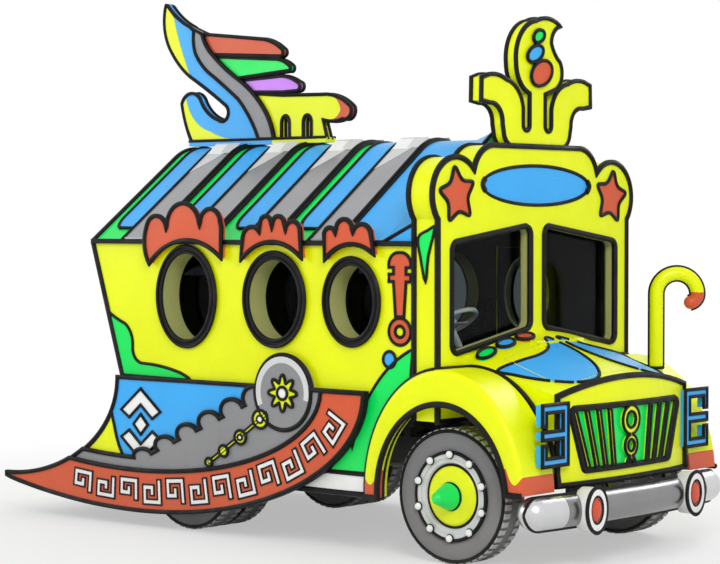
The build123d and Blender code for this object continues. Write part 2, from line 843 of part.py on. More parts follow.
def front_fender(left=True):
    """A hollow arched fender that stands out from the body side and meets the nose."""
    y_in, y_out = nose_side_y + seat_gap, body_half + fender_out
    feet = oblong(0, front_axle_x, fender_foot_rear_z, 3000)
    feet += oblong(front_axle_x, 4000, fender_foot_front_z, 3000)
    outer = slab_y(arch_face(arch_outer) & feet, y_in, y_out)
    rim = [e for e in outer.edges().filter_by_position(Axis.Y, y_out - 1, y_out + 1)
           if e.center().Z > 480 and abs(e.center().Z - fender_foot_front_z) > 2]
    outer = fillet(rim, 36)
    outer -= slab_y(arch_face(arch_inner), y_in - 1, y_out + 1)
    core = arch_face(arch_outer, -fender_skin) - arch_face(arch_inner, fender_skin)
    outer -= slab_y(core, y_in + fender_skin, y_out - fender_skin)
    body_zone = block(0, cab_front_x + seat_gap, 0, body_half + seat_gap, 0, 3000)
    fender = outer - body_zone
    fender = max(fender.solids(), key=lambda s: s.volume)
    return fender if left else other_side(fender)


def front_fenders():
    return loose(front_fender(True), front_fender(False))


def bumper_path():
    return ThreePointArc((bumper_end_x, bumper_end_y, bumper_z), (bumper_mid_x, 0, bumper_z),
                         (bumper_end_x, -bumper_end_y, bumper_z))


def bumper_bar(radius):
    path = bumper_path()
    start = Plane(path @ 0, z_dir=path % 0)
    bar = sweep(start * Circle(radius), path=path)
    for end in (path @ 0, path @ 1):
        bar += Pos(*end) * Sphere(radius)
    return bar


def front_bumper():
    bar = bumper_bar(bumper_radius) - bumper_bar(bumper_radius - bumper_skin)
    slot = slab_z(make_face(
        Polyline((bumper_end_x, bumper_end_y), (bumper_end_x - 400, bumper_end_y),
                 (bumper_end_x - 400, -bumper_end_y), (bumper_end_x, -bumper_end_y))
        + ThreePointArc((bumper_end_x, -bumper_end_y), (bumper_mid_x, 0),
                        (bumper_end_x, bumper_end_y))), bumper_z - 70, bumper_z + 70)
    bar -= slot
    for side in (-1, 1):
        bar += bumper_bracket(side)
    return bar


def bumper_bracket(side):
    """A drop plate from the frame rail to the bumper, with a towing eye below."""
    inner = rail_y[1] + seat_gap
    plate = shape_of((2380, 560), (2380, 300), (2460, 300), (2460, 380), (2740, 400),
                     (2740, 470), (2530, 560), (2530, 800), (2440, 800), (2440, 600))
    plate = slab_y(plate, inner, inner + bracket_thick)
    plate -= Pos(tow_x, 0, tow_z) * Rot(90, 0, 0) * Cylinder(tow_radius, 4000)
    return plate if side > 0 else other_side(plate)


def bumper_lamps():
    """Two oval lamps that stand on the front of the bumper."""
    lamps = []
    for side in (-1, 1):
        x0 = bumper_mid_x - 30
        body = slab_x(oval(side * bumper_lamp_y, bumper_z, *bumper_lamp), x0, bumper_lamp_front_x)
        body -= bumper_bar(bumper_radius + seat_gap)
        lamps.append(max(body.solids(), key=lambda s: s.center().X))
    return loose(*lamps)


# Tail skirts

def skirt_blank(inset):
    """The skirt in side view before its tail is hollowed, with its lower edge up by some mm."""
    long_axis = skirt_front_x - skirt_low_x - inset * 1.3
    depth = waist_z - skirt_low_z - inset
    low = waist_z - depth
    run = skirt_low_x - tail_x
    rise = skirt_tip_z - skirt_low_z
    radius = (run ** 2 + rise ** 2) / (2 * rise) - inset

    def sweep_up(x):
        return skirt_low_x - x, low + radius - math.sqrt(radius ** 2 - x ** 2)

    return make_face(Wire([
        EllipticalCenterArc((skirt_low_x, waist_z), long_axis, depth, start_angle=270, arc_size=90),
        Line((skirt_low_x + long_axis, waist_z), (tail_x, waist_z)),
        Line((tail_x, waist_z), sweep_up(run)),
        ThreePointArc(sweep_up(run), sweep_up(run / 2), (skirt_low_x, low)),
    ]))


def tail_hollow():
    return oval(tail_x, waist_z, *tail_curve)


def flare_line(x):
    run = flare_start_x - tail_x
    radius = (run ** 2 + flare ** 2) / (2 * flare)
    return radius - math.sqrt(radius ** 2 - (flare_start_x - x) ** 2) if x < flare_start_x else 0.0


def flare_plan(proud0, proud1):
    """A strip seen from above that runs straight, then flares in folds towards the tail."""
    run = flare_start_x - tail_x
    stations = [skirt_front_x + 40]
    stations += [flare_start_x - run * n / flare_folds for n in range(flare_folds)]
    stations.append(tail_x - 10)
    inner = [(x, body_half + proud0 + flare_line(x)) for x in stations]
    outer = [(x, body_half + proud1 + flare_line(x)) for x in reversed(stations)]
    return shape_of(*inner, *outer)


def flared(face, proud0, proud1, left):
    sheet = slab_z(flare_plan(proud0, proud1), 0, 1600)
    piece = sheet & slab_y(face, body_half - 10, body_half + 400)
    if left:
        return piece - block(door_x[0] - 6, 3000, 0, 3000, 0, 3000)
    return other_side(piece)


def disc_face(left, grow=0.0):
    return Pos(disc_x[0 if left else 1], disc_z) * Circle(disc_radius + grow)


def blade_face(left):
    """The grey blade: a scalloped wedge from the hub disc down to a thin strip at the tail."""
    middle = disc_x[0 if left else 1]
    inside = skirt_blank(band_width)
    strip = inside - skirt_blank(band_width + blade_width)
    low_end = (skirt_low_x - 60, 520)
    high_end = (middle - disc_radius * 0.6, disc_z - 20)
    wedge = shape_of(high_end, low_end, (skirt_low_x, 0), (3000, 0), (3000, waist_z),
                     (middle, waist_z))
    face = strip + (inside & wedge)
    for n in range(blade_lobes):
        share = (n + 0.5) / blade_lobes
        u = low_end[0] + (high_end[0] - low_end[0]) * share
        v = low_end[1] + (high_end[1] - low_end[1]) * share
        face += oval(u, v + 8, 105 + 25 * share, 62 + 40 * share) & inside
    return face - tail_hollow()


def skirt_panels():
    face = skirt_blank(0) - tail_hollow()
    return loose(*[flared(face, seat_gap, skirt_thick, left) for left in (False, True)])


def skirt_blades():
    """The blades, each with its round hub disc."""
    pieces = []
    for left in (False, True):
        cut = slab_y(disc_face(left, seat_gap), 0, body_half + 500)
        blade = flared(blade_face(left), skirt_thick + seat_gap, skirt_thick + blade_raise, left)
        blade -= cut if left else other_side(cut)
        pieces += [s for s in blade.solids() if s.volume > 1e5]
        hub = slab_y(disc_face(left), body_half + skirt_thick + seat_gap, body_half + disc_raise)
        hub += slab_y(disc_face(left) & oblong(-3000, 3000, waist_z + 1, 3000),
                      body_half + seat_gap, body_half + disc_raise)
        rim = hub.edges().filter_by_position(Axis.Y, body_half + disc_raise - 1,
                                             body_half + disc_raise + 1)
        hub = chamfer(rim, 18)
        pieces.append(hub if left else other_side(hub))
    return loose(*pieces)


def skirt_bands():
    face = skirt_blank(0) - skirt_blank(band_width - seat_gap) - tail_hollow()
    pieces = [flared(face - disc_face(left, 2), skirt_thick + seat_gap, skirt_thick + band_raise, left)
              for left in (False, True)]
    return loose(*pieces)


def tail_apron():
    """The hollow-curved sheet between the two skirts that closes the tail."""
    a, b = tail_curve
    thick = skirt_thick
    strip = (oval(tail_x, waist_z, a + thick, b + thick) - oval(tail_x, waist_z, a, b))
    strip &= oblong(tail_x, rear_waist_x + 100, 0, waist_z)
    wide = slab_y(strip, -body_half - 400, body_half + 400)
    half = flare_plan(-body_half, 0)
    inside = slab_z(half + mirror(half, about=Plane.XZ), 0, 2000)
    inside += block(tail_x - 5, 0, -body_half / 2, body_half / 2, 0, 2000)
    wide &= inside
    clear = block(rear_waist_x, 4000, -3000, 3000, 0, 3000)
    return wide - clear


# Running gear

def chassis_frame():
    """Two channel rails, crossmembers and the bearers that carry the floor."""
    y0, y1 = rail_y
    z0, z1 = rail_z
    tail = slab_y(oval(tail_x, waist_z, tail_curve[0] + skirt_thick + seat_gap,
                       tail_curve[1] + skirt_thick + seat_gap), -2000, 2000)
    frame = None
    for side in (-1, 1):
        lo, hi = sorted((side * y0, side * y1))
        rail = block(tail_x, rail_front_x, lo, hi, z0, z1)
        if side > 0:
            rail -= block(tail_x - 1, rail_front_x + 1, lo - 1, hi - rail_web,
                          z0 + rail_web, z1 - rail_web)
        else:
            rail -= block(tail_x - 1, rail_front_x + 1, lo + rail_web, hi + 1,
                          z0 + rail_web, z1 - rail_web)
        rail -= tail
        frame = rail if frame is None else frame + rail
    for x in cross_x:
        frame += block(x - cross_width / 2, x + cross_width / 2, -y1 + 1, y1 - 1, z0 + 60, z0 + 140)
    for x in bearer_x:
        frame += block(x - 30, x + 30, -body_half + wall + 40, body_half - wall - 40,
                       floor_z - floor_thick - seat_gap - 60, floor_z - floor_thick - seat_gap) \
            - step_space()
        for side in (-1, 1):
            lo, hi = sorted((side * y0, side * y1))
            frame += block(x - 30, x + 30, lo, hi, z1 - 5, floor_z - floor_thick - seat_gap - 50)
    for side in (-1, 1):
        lo, hi = sorted((side * (engine_half + seat_gap), side * (y1 - rail_web + 1)))
        for x in (engine_x[0] + 70, engine_x[1] - 70):
            frame += block(x - 35, x + 35, lo, hi, z0 + 20, z0 + 80)
        lo, hi = sorted((side * (y0 - 10), side * (y1 + 10)))
        frame += block(jack_x - 70, jack_x + 70, lo, hi, z0 - 20, z0 + 5)
    return frame


def step_space():
    return block(door_x[0] - 10, door_x[1] + 10, body_half - wall - 500, body_half, 0, floor_z)


def leaf_spring(x, side, eye_z):
    """A flat bow of leaves, each shorter than the one above it, with rolled eyes."""
    pieces = None
    for n in range(leaf_count):
        half = spring_half * (1 - 0.17 * n)
        sag = 70.0 * (half / spring_half) ** 2
        z = eye_z - 70 - n * leaf_thick
        edges = (ThreePointArc((x - half, z + sag), (x, z), (x + half, z + sag))
                 + Line((x + half, z + sag), (x + half, z + sag + leaf_thick + 0.5))
                 + ThreePointArc((x + half, z + sag + leaf_thick + 0.5), (x, z + leaf_thick + 0.5),
                                 (x - half, z + sag + leaf_thick + 0.5))
                 + Line((x - half, z + sag + leaf_thick + 0.5), (x - half, z + sag)))
        leaf = slab_y(make_face(edges), side * spring_y - spring_width / 2,
                      side * spring_y + spring_width / 2)
        pieces = leaf if pieces is None else pieces + leaf
    for end in (-1, 1):
        eye = Pos(x + end * spring_half, side * spring_y, eye_z + 8) * Rot(90, 0, 0)
        pieces += eye * Cylinder(22, spring_width)
        lo, hi = sorted((side * (rail_y[1] + seat_gap), side * (spring_y + 20)))
        pieces += Pos(x + end * spring_half, (lo + hi) / 2, eye_z + 8) * Rot(90, 0, 0) \
            * Cylinder(16, hi - lo)
        pieces += block(x + end * spring_half - 35, x + end * spring_half + 35,
                        *sorted((side * (rail_y[1] + seat_gap), side * (rail_y[1] + 16))),
                        eye_z - 20, rail_z[1] - 20)
    return pieces


def leaf_springs():
    springs = [leaf_spring(x, side, eye_z) for side in (-1, 1)
               for x, eye_z in zip((front_axle_x, rear_axle_x), spring_eye_z)]
    return loose(*springs)


def spring_seat_z(eye_z):
    """Underside of the leaf pack, where an axle carries it."""
    return eye_z - 70 - (leaf_count - 1) * leaf_thick


def front_axle():
    """An I-beam between the kingpins, with a spring seat on each side."""
    half = kingpin_y
    seat = spring_seat_z(spring_eye_z[0]) - seat_gap
    beam = block(front_axle_x - 45, front_axle_x + 45, -half + 30, half - 30, axle_z - 50,
                 axle_z - 34)
    beam += block(front_axle_x - 45, front_axle_x + 45, -half + 30, half - 30, seat - 16, seat)
    beam += block(front_axle_x - 10, front_axle_x + 10, -half + 30, half - 30, axle_z - 40, seat - 10)
    for side in (-1, 1):
        boss = Pos(front_axle_x, side * half, axle_z) * Cylinder(42, 96)
        link = block(front_axle_x - 40, front_axle_x + 40, *sorted((side * (half - 60), side * half)),
                     axle_z - 48, axle_z + 10)
        beam += boss + link
    for side in (-1, 1):
        beam -= Pos(front_axle_x, side * half, axle_z) * Cylinder(20.05, 200)
    return beam


def knuckle(side):
    """A forked steering knuckle with its kingpin and stub axle."""
    y = side * kingpin_y
    pin = Pos(front_axle_x, y, axle_z) * Cylinder(20, 170)
    fork = None
    for z in (axle_z - 70, axle_z + 70):
        ear = block(front_axle_x - 38, front_axle_x + 38, *sorted((y - side * 36, y + side * 66)),
                    z - 16, z + 16)
        fork = ear if fork is None else fork + ear
    plate = block(front_axle_x - 60, front_axle_x + 60, *sorted((y + side * 50, y + side * 72)),
                  axle_z - 86, axle_z + 86)
    stub = Pos(front_axle_x, y + side * 105, axle_z) * Rot(90, 0, 0) * Cylinder(30, 110)
    arm = block(front_axle_x - 190, front_axle_x - 30, *sorted((y - side * 20, y + side * 20)),
                axle_z - 84, axle_z - 62)
    return pin + fork + plate + stub + arm


def rear_axle():
    """The rear axle casing, its differential and the shaft that drives it."""
    tube = Pos(rear_axle_x, 0, axle_z) * Rot(90, 0, 0) * Cylinder(58, 2 * (twin_y[0] - 150))
    stub = Pos(rear_axle_x, 0, axle_z) * Rot(90, 0, 0) * Cylinder(40, 2 * (twin_y[1] - 10))
    bowl = Pos(rear_axle_x, 0, axle_z) * Rot(90, 0, 0) * Cylinder(185, 150)
    bowl = fillet(bowl.edges().filter_by(GeomType.CIRCLE), 60)
    axle = tube + stub + bowl
    nose = Pos(rear_axle_x + 180, 0, axle_z) * Rot(0, 90, 0) * Cone(95, 60, 190)
    axle += nose
    start = Vector(rear_axle_x + 250, 0, axle_z + 4)
    end = Vector(engine_x[0] - seat_gap, 0, engine_z[0] + 60)
    run = end - start
    shaft = extrude(Plane(start, z_dir=run) * Circle(38), amount=run.length - 60)
    axle += shaft
    seat = spring_seat_z(spring_eye_z[1]) - seat_gap
    for side in (-1, 1):
        axle += block(rear_axle_x - 55, rear_axle_x + 55,
                      *sorted((side * (spring_y - 45), side * (spring_y + 45))), axle_z, seat)
    return axle


def engine_block():
    return block(*engine_x, -engine_half, engine_half, *engine_z)


def fuel_tank():
    rear = rear_axle_x + tyre_radius + 130
    inner = rail_y[1] + 130
    outer = body_half - wall - 60
    tank = block(rear, rear + 580, -outer, -inner, 560, 860)
    tank = fillet(tank.edges().filter_by(Axis.X), 70)
    for x in (rear + 100, rear + 480):
        tank += block(x - 20, x + 20, -inner - 1, -rail_y[1] - seat_gap, 700, 780)
    return tank


def exhaust():
    """A silencer and its pipe along the left rail, turned out behind the rear wheels."""
    box = Pos(150, 560, 640) * Rot(0, 90, 0) * Cylinder(85, 500)
    pipe = Pos(650, 560, 640) * Rot(0, 90, 0) * Cylinder(32, 560)
    tail = Pos(-165, 560, 640) * Rot(0, 90, 0) * Cylinder(32, 200)
    hangers = block(120, 150, rail_y[1] + seat_gap, 500, 690, 720)
    hangers += block(800, 830, rail_y[1] + seat_gap, 560, 655, 685)
    return box + pipe + tail + hangers


def tyre(y, width):
    """A tyre's section turned about its axle, with round shoulders and a bead at each side."""
    half = width / 2
    tread = half - 28
    points = [(rim_radius - 30, -half + 22), (rim_radius + 60, -half), (tyre_radius - 60, -half + 2),
              (tyre_radius - 8, -tread), (tyre_radius, -tread + 20), (tyre_radius, tread - 20),
              (tyre_radius - 8, tread), (tyre_radius - 60, half - 2), (rim_radius + 60, half),
              (rim_radius - 30, half - 22)]
    section = shape_of(*points)
    solid = revolve(Plane.XY * section, Axis.Y)
    return Pos(0, y, axle_z) * solid


def wheel_tyre(axle_x, ys, width):
    tyres = [Pos(axle_x, 0, 0) * tyre(y, width) for y in ys]
    return loose(*tyres)


def front_wheel(side):
    """A dished disc with its stud ring, a large hub cap and a long blunt cone."""
    y = side * front_track_half
    out = side * tyre_width / 2
    seat = rim_radius - 30 - seat_gap
    half = tyre_width / 2 - 22
    rim = shape_of((seat - 14, -half), (seat, -half), (seat, half), (seat + 26, half + 10),
                   (seat + 26, half + 22), (seat - 14, half + 18))
    rim = revolve(Plane.XY * rim, Axis.Y)
    disc = shape_of((34, 40), (hub_radius, 60), (seat - 40, 96), (seat, 96), (seat, 112),
                    (seat - 46, 112), (hub_radius, 76), (34, 56))
    disc = revolve(Plane.XY * disc, Axis.Y)
    cap = shape_of((0, 56), (hub_radius, 70), (hub_radius, 92), (hub_radius - 26, 112), (86, 128),
                   (0, 128))
    cap = revolve(Plane.XY * cap, Axis.Y)
    cone_foot, cone_tip = 100.0, 42.0
    cone = shape_of((0, 120), (cone_foot - 10, 120), (cone_foot, 150),
                    (cone_tip, 128 + cone_length - 26), (cone_tip - 22, 128 + cone_length),
                    (0, 128 + cone_length))
    cone = revolve(Plane.XY * cone, Axis.Y)
    sleeve = shape_of((30.08, -36), (72, -36), (72, 62), (30.08, 62))
    sleeve = revolve(Plane.XY * sleeve, Axis.Y)
    wheel = rim + disc + cap + cone + sleeve
    for n in range(stud_count):
        turn = 2 * math.pi * (n + 0.5) / stud_count
        spot = (stud_ring * math.cos(turn), half + 22, stud_ring * math.sin(turn))
        wheel += Pos(*spot) * Rot(90, 0, 0) * Cylinder(15, 30)
    if side < 0:
        wheel = other_side(wheel)
    return Pos(front_axle_x, y, axle_z) * wheel


def rear_wheel(side):
    """The twin rims on one hub."""
    seat = rim_radius - 30 - seat_gap
    half = twin_width / 2 - 22
    wheel = None
    for y in twin_y:
        rim = shape_of((seat - 14, y - half), (seat, y - half), (seat, y + half),
                       (seat - 14, y + half))
        rim = revolve(Plane.XY * rim, Axis.Y)
        wheel = rim if wheel is None else wheel + rim
    middle = sum(twin_y) / 2
    disc = shape_of((40.08, middle - 12), (seat - 8, middle - 12 - 60), (seat - 8, middle - 60 + 6),
                    (90, middle + 12), (90, middle + 90), (40.08, middle + 90))
    web = shape_of((60, middle - 12), (seat - 8, middle + 50), (seat - 8, middle + 66),
                   (60, middle + 10))
    wheel += revolve(Plane.XY * disc, Axis.Y)
    wheel += revolve(Plane.XY * web, Axis.Y)
    if side < 0:
        wheel = other_side(wheel)
    return Pos(rear_axle_x, 0, axle_z) * wheel


# Inside the cabin

def bench_places():
    places = [(x, -1) for x in bench_x]
    places += [(x, 1) for x in bench_x[:2]]
    return places


def seat_pads():
    """Seat cushions and backs, the driver's too."""
    pads = []
    for x, side in bench_places():
        y0, y1 = sorted((side * bench_y[0], side * bench_y[1]))
        pads += pad_pair(x, y0, y1)
    pads += pad_pair(driver_x, driver_y - driver_half, driver_y + driver_half)
    return loose(*pads)


def pad_pair(x, y0, y1):
    top = floor_z + cushion_top
    cushion = block(x, x + bench_depth, y0, y1, top - cushion_thick, top)
    back = block(x - back_thick, x - 2, y0, y1, top - 60, top + back_high)
    cushion = fillet(cushion.edges().filter_by(Axis.Y), 35)
    back = fillet(back.edges().filter_by(Axis.Y), 35)
    return [cushion, back]


def seat_frames():
    frames = []
    for x, side in bench_places():
        y0, y1 = sorted((side * bench_y[0], side * bench_y[1]))
        frames.append(seat_frame(x, y0, y1))
    frames.append(seat_frame(driver_x, driver_y - driver_half, driver_y + driver_half))
    return loose(*frames)


def seat_frame(x, y0, y1):
    """A pan under the cushion, two leg frames and an upright panel behind the back."""
    under = floor_z + cushion_top - cushion_thick - seat_gap
    frame = block(x + 10, x + bench_depth - 20, y0 + 20, y1 - 20, under - 18, under)
    for y in (y0 + 60, y1 - 60 - 36):
        for leg in (x + 30, x + bench_depth - 90):
            frame += block(leg, leg + 36, y, y + 36, floor_z + seat_gap, under - 10)
    frame += block(x - back_thick - 16, x - back_thick - seat_gap, y0 + 30, y1 - 30,
                   under - 18, floor_z + cushion_top + back_high - 60)
    frame += block(x - back_thick - 16, x + 20, y0 + 60, y1 - 60, under - 18, under)
    return frame


def dash_face(shift=0.0):
    x1 = cab_front_x - wall - seat_gap
    return rounded_shape(((x1 - 250 - shift, 1330), (x1, 1330), (x1, 1500),
                          (x1 - 190 - shift, 1500)), 30)


def dashboard():
    """The dashboard across the cab, with an instrument hood before the driver."""
    desk = slab_y(dash_face(), -body_half + wall + 60, body_half - wall - 60)
    hood = Pos(cab_front_x - 190, driver_y, 1500) * Rot(90, 0, 0) * Cylinder(60, 340)
    return desk + hood


def steering():
    """The steering wheel with three spokes, on a raked column that leaves the dashboard."""
    foot = Vector(1570, driver_y, 1390)
    head = Vector(1370, driver_y, 1720)
    rake = Plane(head, z_dir=head - foot)
    column = extrude(Plane(foot, z_dir=head - foot) * Circle(26), amount=(head - foot).length)
    column -= slab_y(dash_face(seat_gap), -body_half, body_half)
    rim = rake * Torus(225, 17)
    hub = rake * Cylinder(62, 50)
    wheel = column + rim + hub
    for n in range(3):
        wheel += rake * Rot(0, 0, 90 + 120 * n) * Pos(115, 0, 0) * Box(230, 34, 14)
    return max(wheel.solids(), key=lambda solid: solid.volume)


# Doors

def entry_door():
    """The leaf with its own deep porthole, hinged at its front edge."""
    x0, x1 = door_x[0] + door_gap, door_x[1] - door_gap
    leaf = slab_y(oblong(x0, x1, door_z[0], door_z[1] - door_gap), body_half - 50, body_half)
    leaf -= slab_y(oval(door_port_x, port_z, 215, 330), body_half - 60, body_half + 10)
    ring = oval(door_port_x, port_z, 245, 360) - oval(door_port_x, port_z, 190, 305)
    leaf += slab_y(ring, body_half - 90, body_half + port_flange)
    lower = oval(door_port_x, 920, 190, 240) - oval(door_port_x, 920, 150, 200)
    leaf += slab_y(lower, body_half - 1, body_half + 14)
    leaf += block(x0 + 40, x0 + 64, body_half, body_half + 50, 1330, 1560)
    low, high = hinge_spans()[0]
    for z in door_hinge_z:
        leaf += block(x1 - 40, x1 + 1, body_half - 1, body_half + 12, z + low, z + high)
        leaf += hinge_moving(door_hinge_place(z))
        leaf -= hinge_clearance(door_hinge_place(z))
    return leaf


def entry_door_glass():
    pane = oval(door_port_x, port_z, 190 - seat_gap, 305 - seat_gap)
    return slab_y(pane, body_half - 60, body_half - 60 + port_glass)


# Roof ornaments

def fin_line(shift):
    """The S-curve between the fin's blade and its spine, from the foot up, moved a little."""
    points = ((-1113, 3150), (-1113, 3204), ((-1210, 3380), (-1355, 3555)),
              ((-1505, 3662), (-1656, 3764)), ((-1785, 3860), (-1873, 3972)),
              ((-1897, 4073), (-1891, 4173)), (-1962, 4216))
    return moved_outline(points, shift)


def spine_line(shift):
    """The spine's outer edge, from its top down to its foot, moved a little."""
    points = ((-1793, 4138), ((-1745, 4035), (-1669, 3953)), ((-1520, 3830), (-1354, 3722)),
              ((-1190, 3605), (-1059, 3467)), ((-985, 3345), (-940, 3205)), (-940, 3150))
    return moved_outline(points, shift)


def moved_outline(points, shift):
    """An outline moved by the same distance forwards and up."""
    moved = []
    for step in points:
        if isinstance(step[0], tuple):
            moved.append(tuple((u + shift, v + shift) for u, v in step))
        else:
            moved.append((step[0] + shift, step[1] + shift))
    return moved


def upright(face, thick):
    return slab_y(face, -thick / 2, thick / 2)


def above_ridge(low):
    return oblong(-3000, 3000, low, 5000)


def ridge_top():
    """Height of the rounded ridge."""
    slope = math.atan2(roof_peak_z - eave_z, body_half)
    return roof_peak_z - ridge_radius * (1 / math.cos(slope) - 1)


def fin_foot(x0, x1):
    """A base rail that lies along the ribs on the ridge."""
    low = ridge_top() + rib_raise + seat_gap
    return block(x0, x1, -60, 60, low, foot_top())


def foot_top():
    return ridge_top() + blue_raise + 60


def roof_fin():
    """The swept blade with its hooked foot, standing on a rail along the ridge."""
    outline = closed_face([
        (-1926, 3190), ((-2010, 3377), (-2052, 3539)), ((-1950, 3625), (-1825, 3571)),
        ((-1714, 3438), (-1603, 3385)), ((-1488, 3415), (-1519, 3511)),
        ((-1699, 3627), (-1936, 3765)), ((-2070, 3870), (-2171, 3987)),
        ((-2265, 4200), (-2245, 4433)), ((-2120, 4310), (-1962, 4216)),
        *reversed_outline(fin_line(0)), (-1926, 3150), (-1926, 3190),
    ])
    blade = upright(outline & above_ridge(foot_top() - 20), fin_thick)
    return blade + fin_foot(-1940, fin_foot_end)


def reversed_outline(points):
    """The same line from its far end, without its first corner."""
    corners = [step[1] if isinstance(step[0], tuple) else step for step in points]
    back = []
    for n in range(len(points) - 1, 0, -1):
        step = points[n]
        back.append((step[0], corners[n - 1]) if isinstance(step[0], tuple) else corners[n - 1])
    return back


def fin_spine():
    """The spine along the blade's front edge, which carries the feathers and the comb."""
    outline = closed_face([*fin_line(seat_gap), *spine_line(0), (-1113 + seat_gap, 3150 + seat_gap)])
    return upright(outline & above_ridge(foot_top() + seat_gap), spine_thick)


def spine_clearance():
    """All that lies behind the spine's outer edge."""
    line = spine_line(seat_gap)
    outline = closed_face([line[0], *line[1:], (-2600, line[-1][1]), (-2600, 4600),
                           (line[0][0], 4600), line[0]])
    return slab_y(outline, -200, 200)


def roof_feathers():
    return loose(*[upright(closed_face(outline), feather_thick) - spine_clearance()
                   for outline in feathers])


def ridge_comb():
    """A low arcade on the ridge with a drooping snout, in front of the fin."""
    low = foot_top() - 20
    outline = closed_face([
        (-1300, low), (-1300, 3594), (-1180, 3590), (-860, 3572), (-400, 3562),
        ((-215, 3530), (-88, 3450)), ((-98, 3375), (-178, 3352)), ((-290, 3335), (-393, 3351)),
        (-342, low), (-1300, low),
    ])
    for x in comb_arch_x:
        outline -= oblong(x - 46, x + 46, low - 5, low + 150)
        outline -= oval(x, low + 150, 46, 62)
    comb = upright(outline, feather_thick)
    comb -= spine_clearance()
    return comb + fin_foot(fin_foot_end + seat_gap, -335)


def roof_finial():
    """A flame on a stem between two curled arms, cut from one thick plate."""
    base = cap_top_z + seat_gap
    arm = closed_face([
        (0, 0), (330, 0), ((398, 38), (425, 100)), (440, 165), ((482, 275), (600, 315)),
        (705, 330), (700, 500), (620, 525), ((500, 528), (400, 498)), ((250, 420), (185, 290)),
        (185, 165), ((142, 120), (98, 165)), (98, 440), (0, 440), (0, 0),
    ])
    flame = closed_face([
        (0, 405), (-98, 405), ((-230, 500), (-272, 630)), ((-215, 850), (-20, 965)),
        ((130, 992), (300, 940)), ((205, 885), (178, 805)), ((215, 735), (290, 665)),
        ((318, 560), (240, 450)), (98, 405), (0, 405),
    ])
    plate = Pos(0, base) * (arm + mirror(arm, about=Plane.YZ) + flame)
    reach = finial_thick / 2
    foot = shape_of((-2 * reach, -260), (reach, -260), (reach, 260), (-2 * reach, 260))
    return (slab_x(plate, finial_x - finial_thick / 2, finial_x + finial_thick / 2)
            + Pos(finial_x, 0, 0) * slab_z(foot, base, base + 22))


finial_stud_ovals = (    # height above the crown, offset to the left, half width, half height
    (847, 0, 72, 46),
    (711, -46, 105, 58),
    (566, 37, 138, 92),
)
finial_stud_tilt = 22.0


def finial_studs():
    front = finial_x + finial_thick / 2
    studs = []
    for rise, y, half_y, half_z in finial_stud_ovals:
        face = Pos(y, cap_top_z + rise) * Rot(0, 0, finial_stud_tilt) * Ellipse(half_y, half_z)
        studs.append(slab_x(face, front + seat_gap, front + 16))
    return loose(*studs)


def crook_arm():
    """A tall crook on the left fender that curls outwards at its top."""
    arm = round_bar([
        Line((crook_y, 1250), (crook_y, crook_top_z)),
        arc_about((crook_y + crook_radius, crook_top_z), crook_radius, 180, 0),
        arc_about((crook_y + 2 * crook_radius - 70, crook_top_z), 70, 0, -75),
    ], crook_bar, crook_x)
    foot = Pos(crook_x, crook_y, 0)
    arm = foot * Rot(0, 0, -crook_turn) * foot.inverse() * arm
    return arm - slab_y(arch_face(arch_outer, seat_gap), 0, 2000)


def cheek_brackets():
    """A notched bracket that stands out from each front corner of the nose."""
    pieces = []
    for side in (-1, 1):
        face = oblong(bracket_root_y, bracket_root_y + 60, *bracket_z)
        middle = sum(bracket_z) / 2
        for z in (bracket_z[0] + 28, middle, bracket_z[1] - 28):
            face += oblong(bracket_root_y, bracket_reach_y, z - 28, z + 28)
        face += oblong(bracket_reach_y - 44, bracket_reach_y, bracket_z[0], middle - 70)
        face += oblong(bracket_reach_y - 44, bracket_reach_y, middle + 70, bracket_z[1])
        plate = slab_x(face, bracket_x - 30, bracket_x + 30)
        plate -= nose_form(-seat_gap)
        plate -= slab_y(arch_face(arch_outer, 6), nose_side_y, 2000)
        pieces.append(plate if side > 0 else other_side(plate))
    return loose(*pieces)


def marker_lamps():
    """Three oval lamps on the cowl below the driver's pane, and a tail lamp on each skirt end."""
    pieces = []
    for y in (-760.0, -520.0, -280.0):
        lamp = slab_z(oval(1885, y, 48, 92), 1400, 1700)
        skin = (nose_lift(22) - nose_lift(seat_gap))
        pieces.append(lamp & skin)
    return loose(*pieces)


def nose_lift(lift):
    return Pos(0, 0, lift) * nose_form()


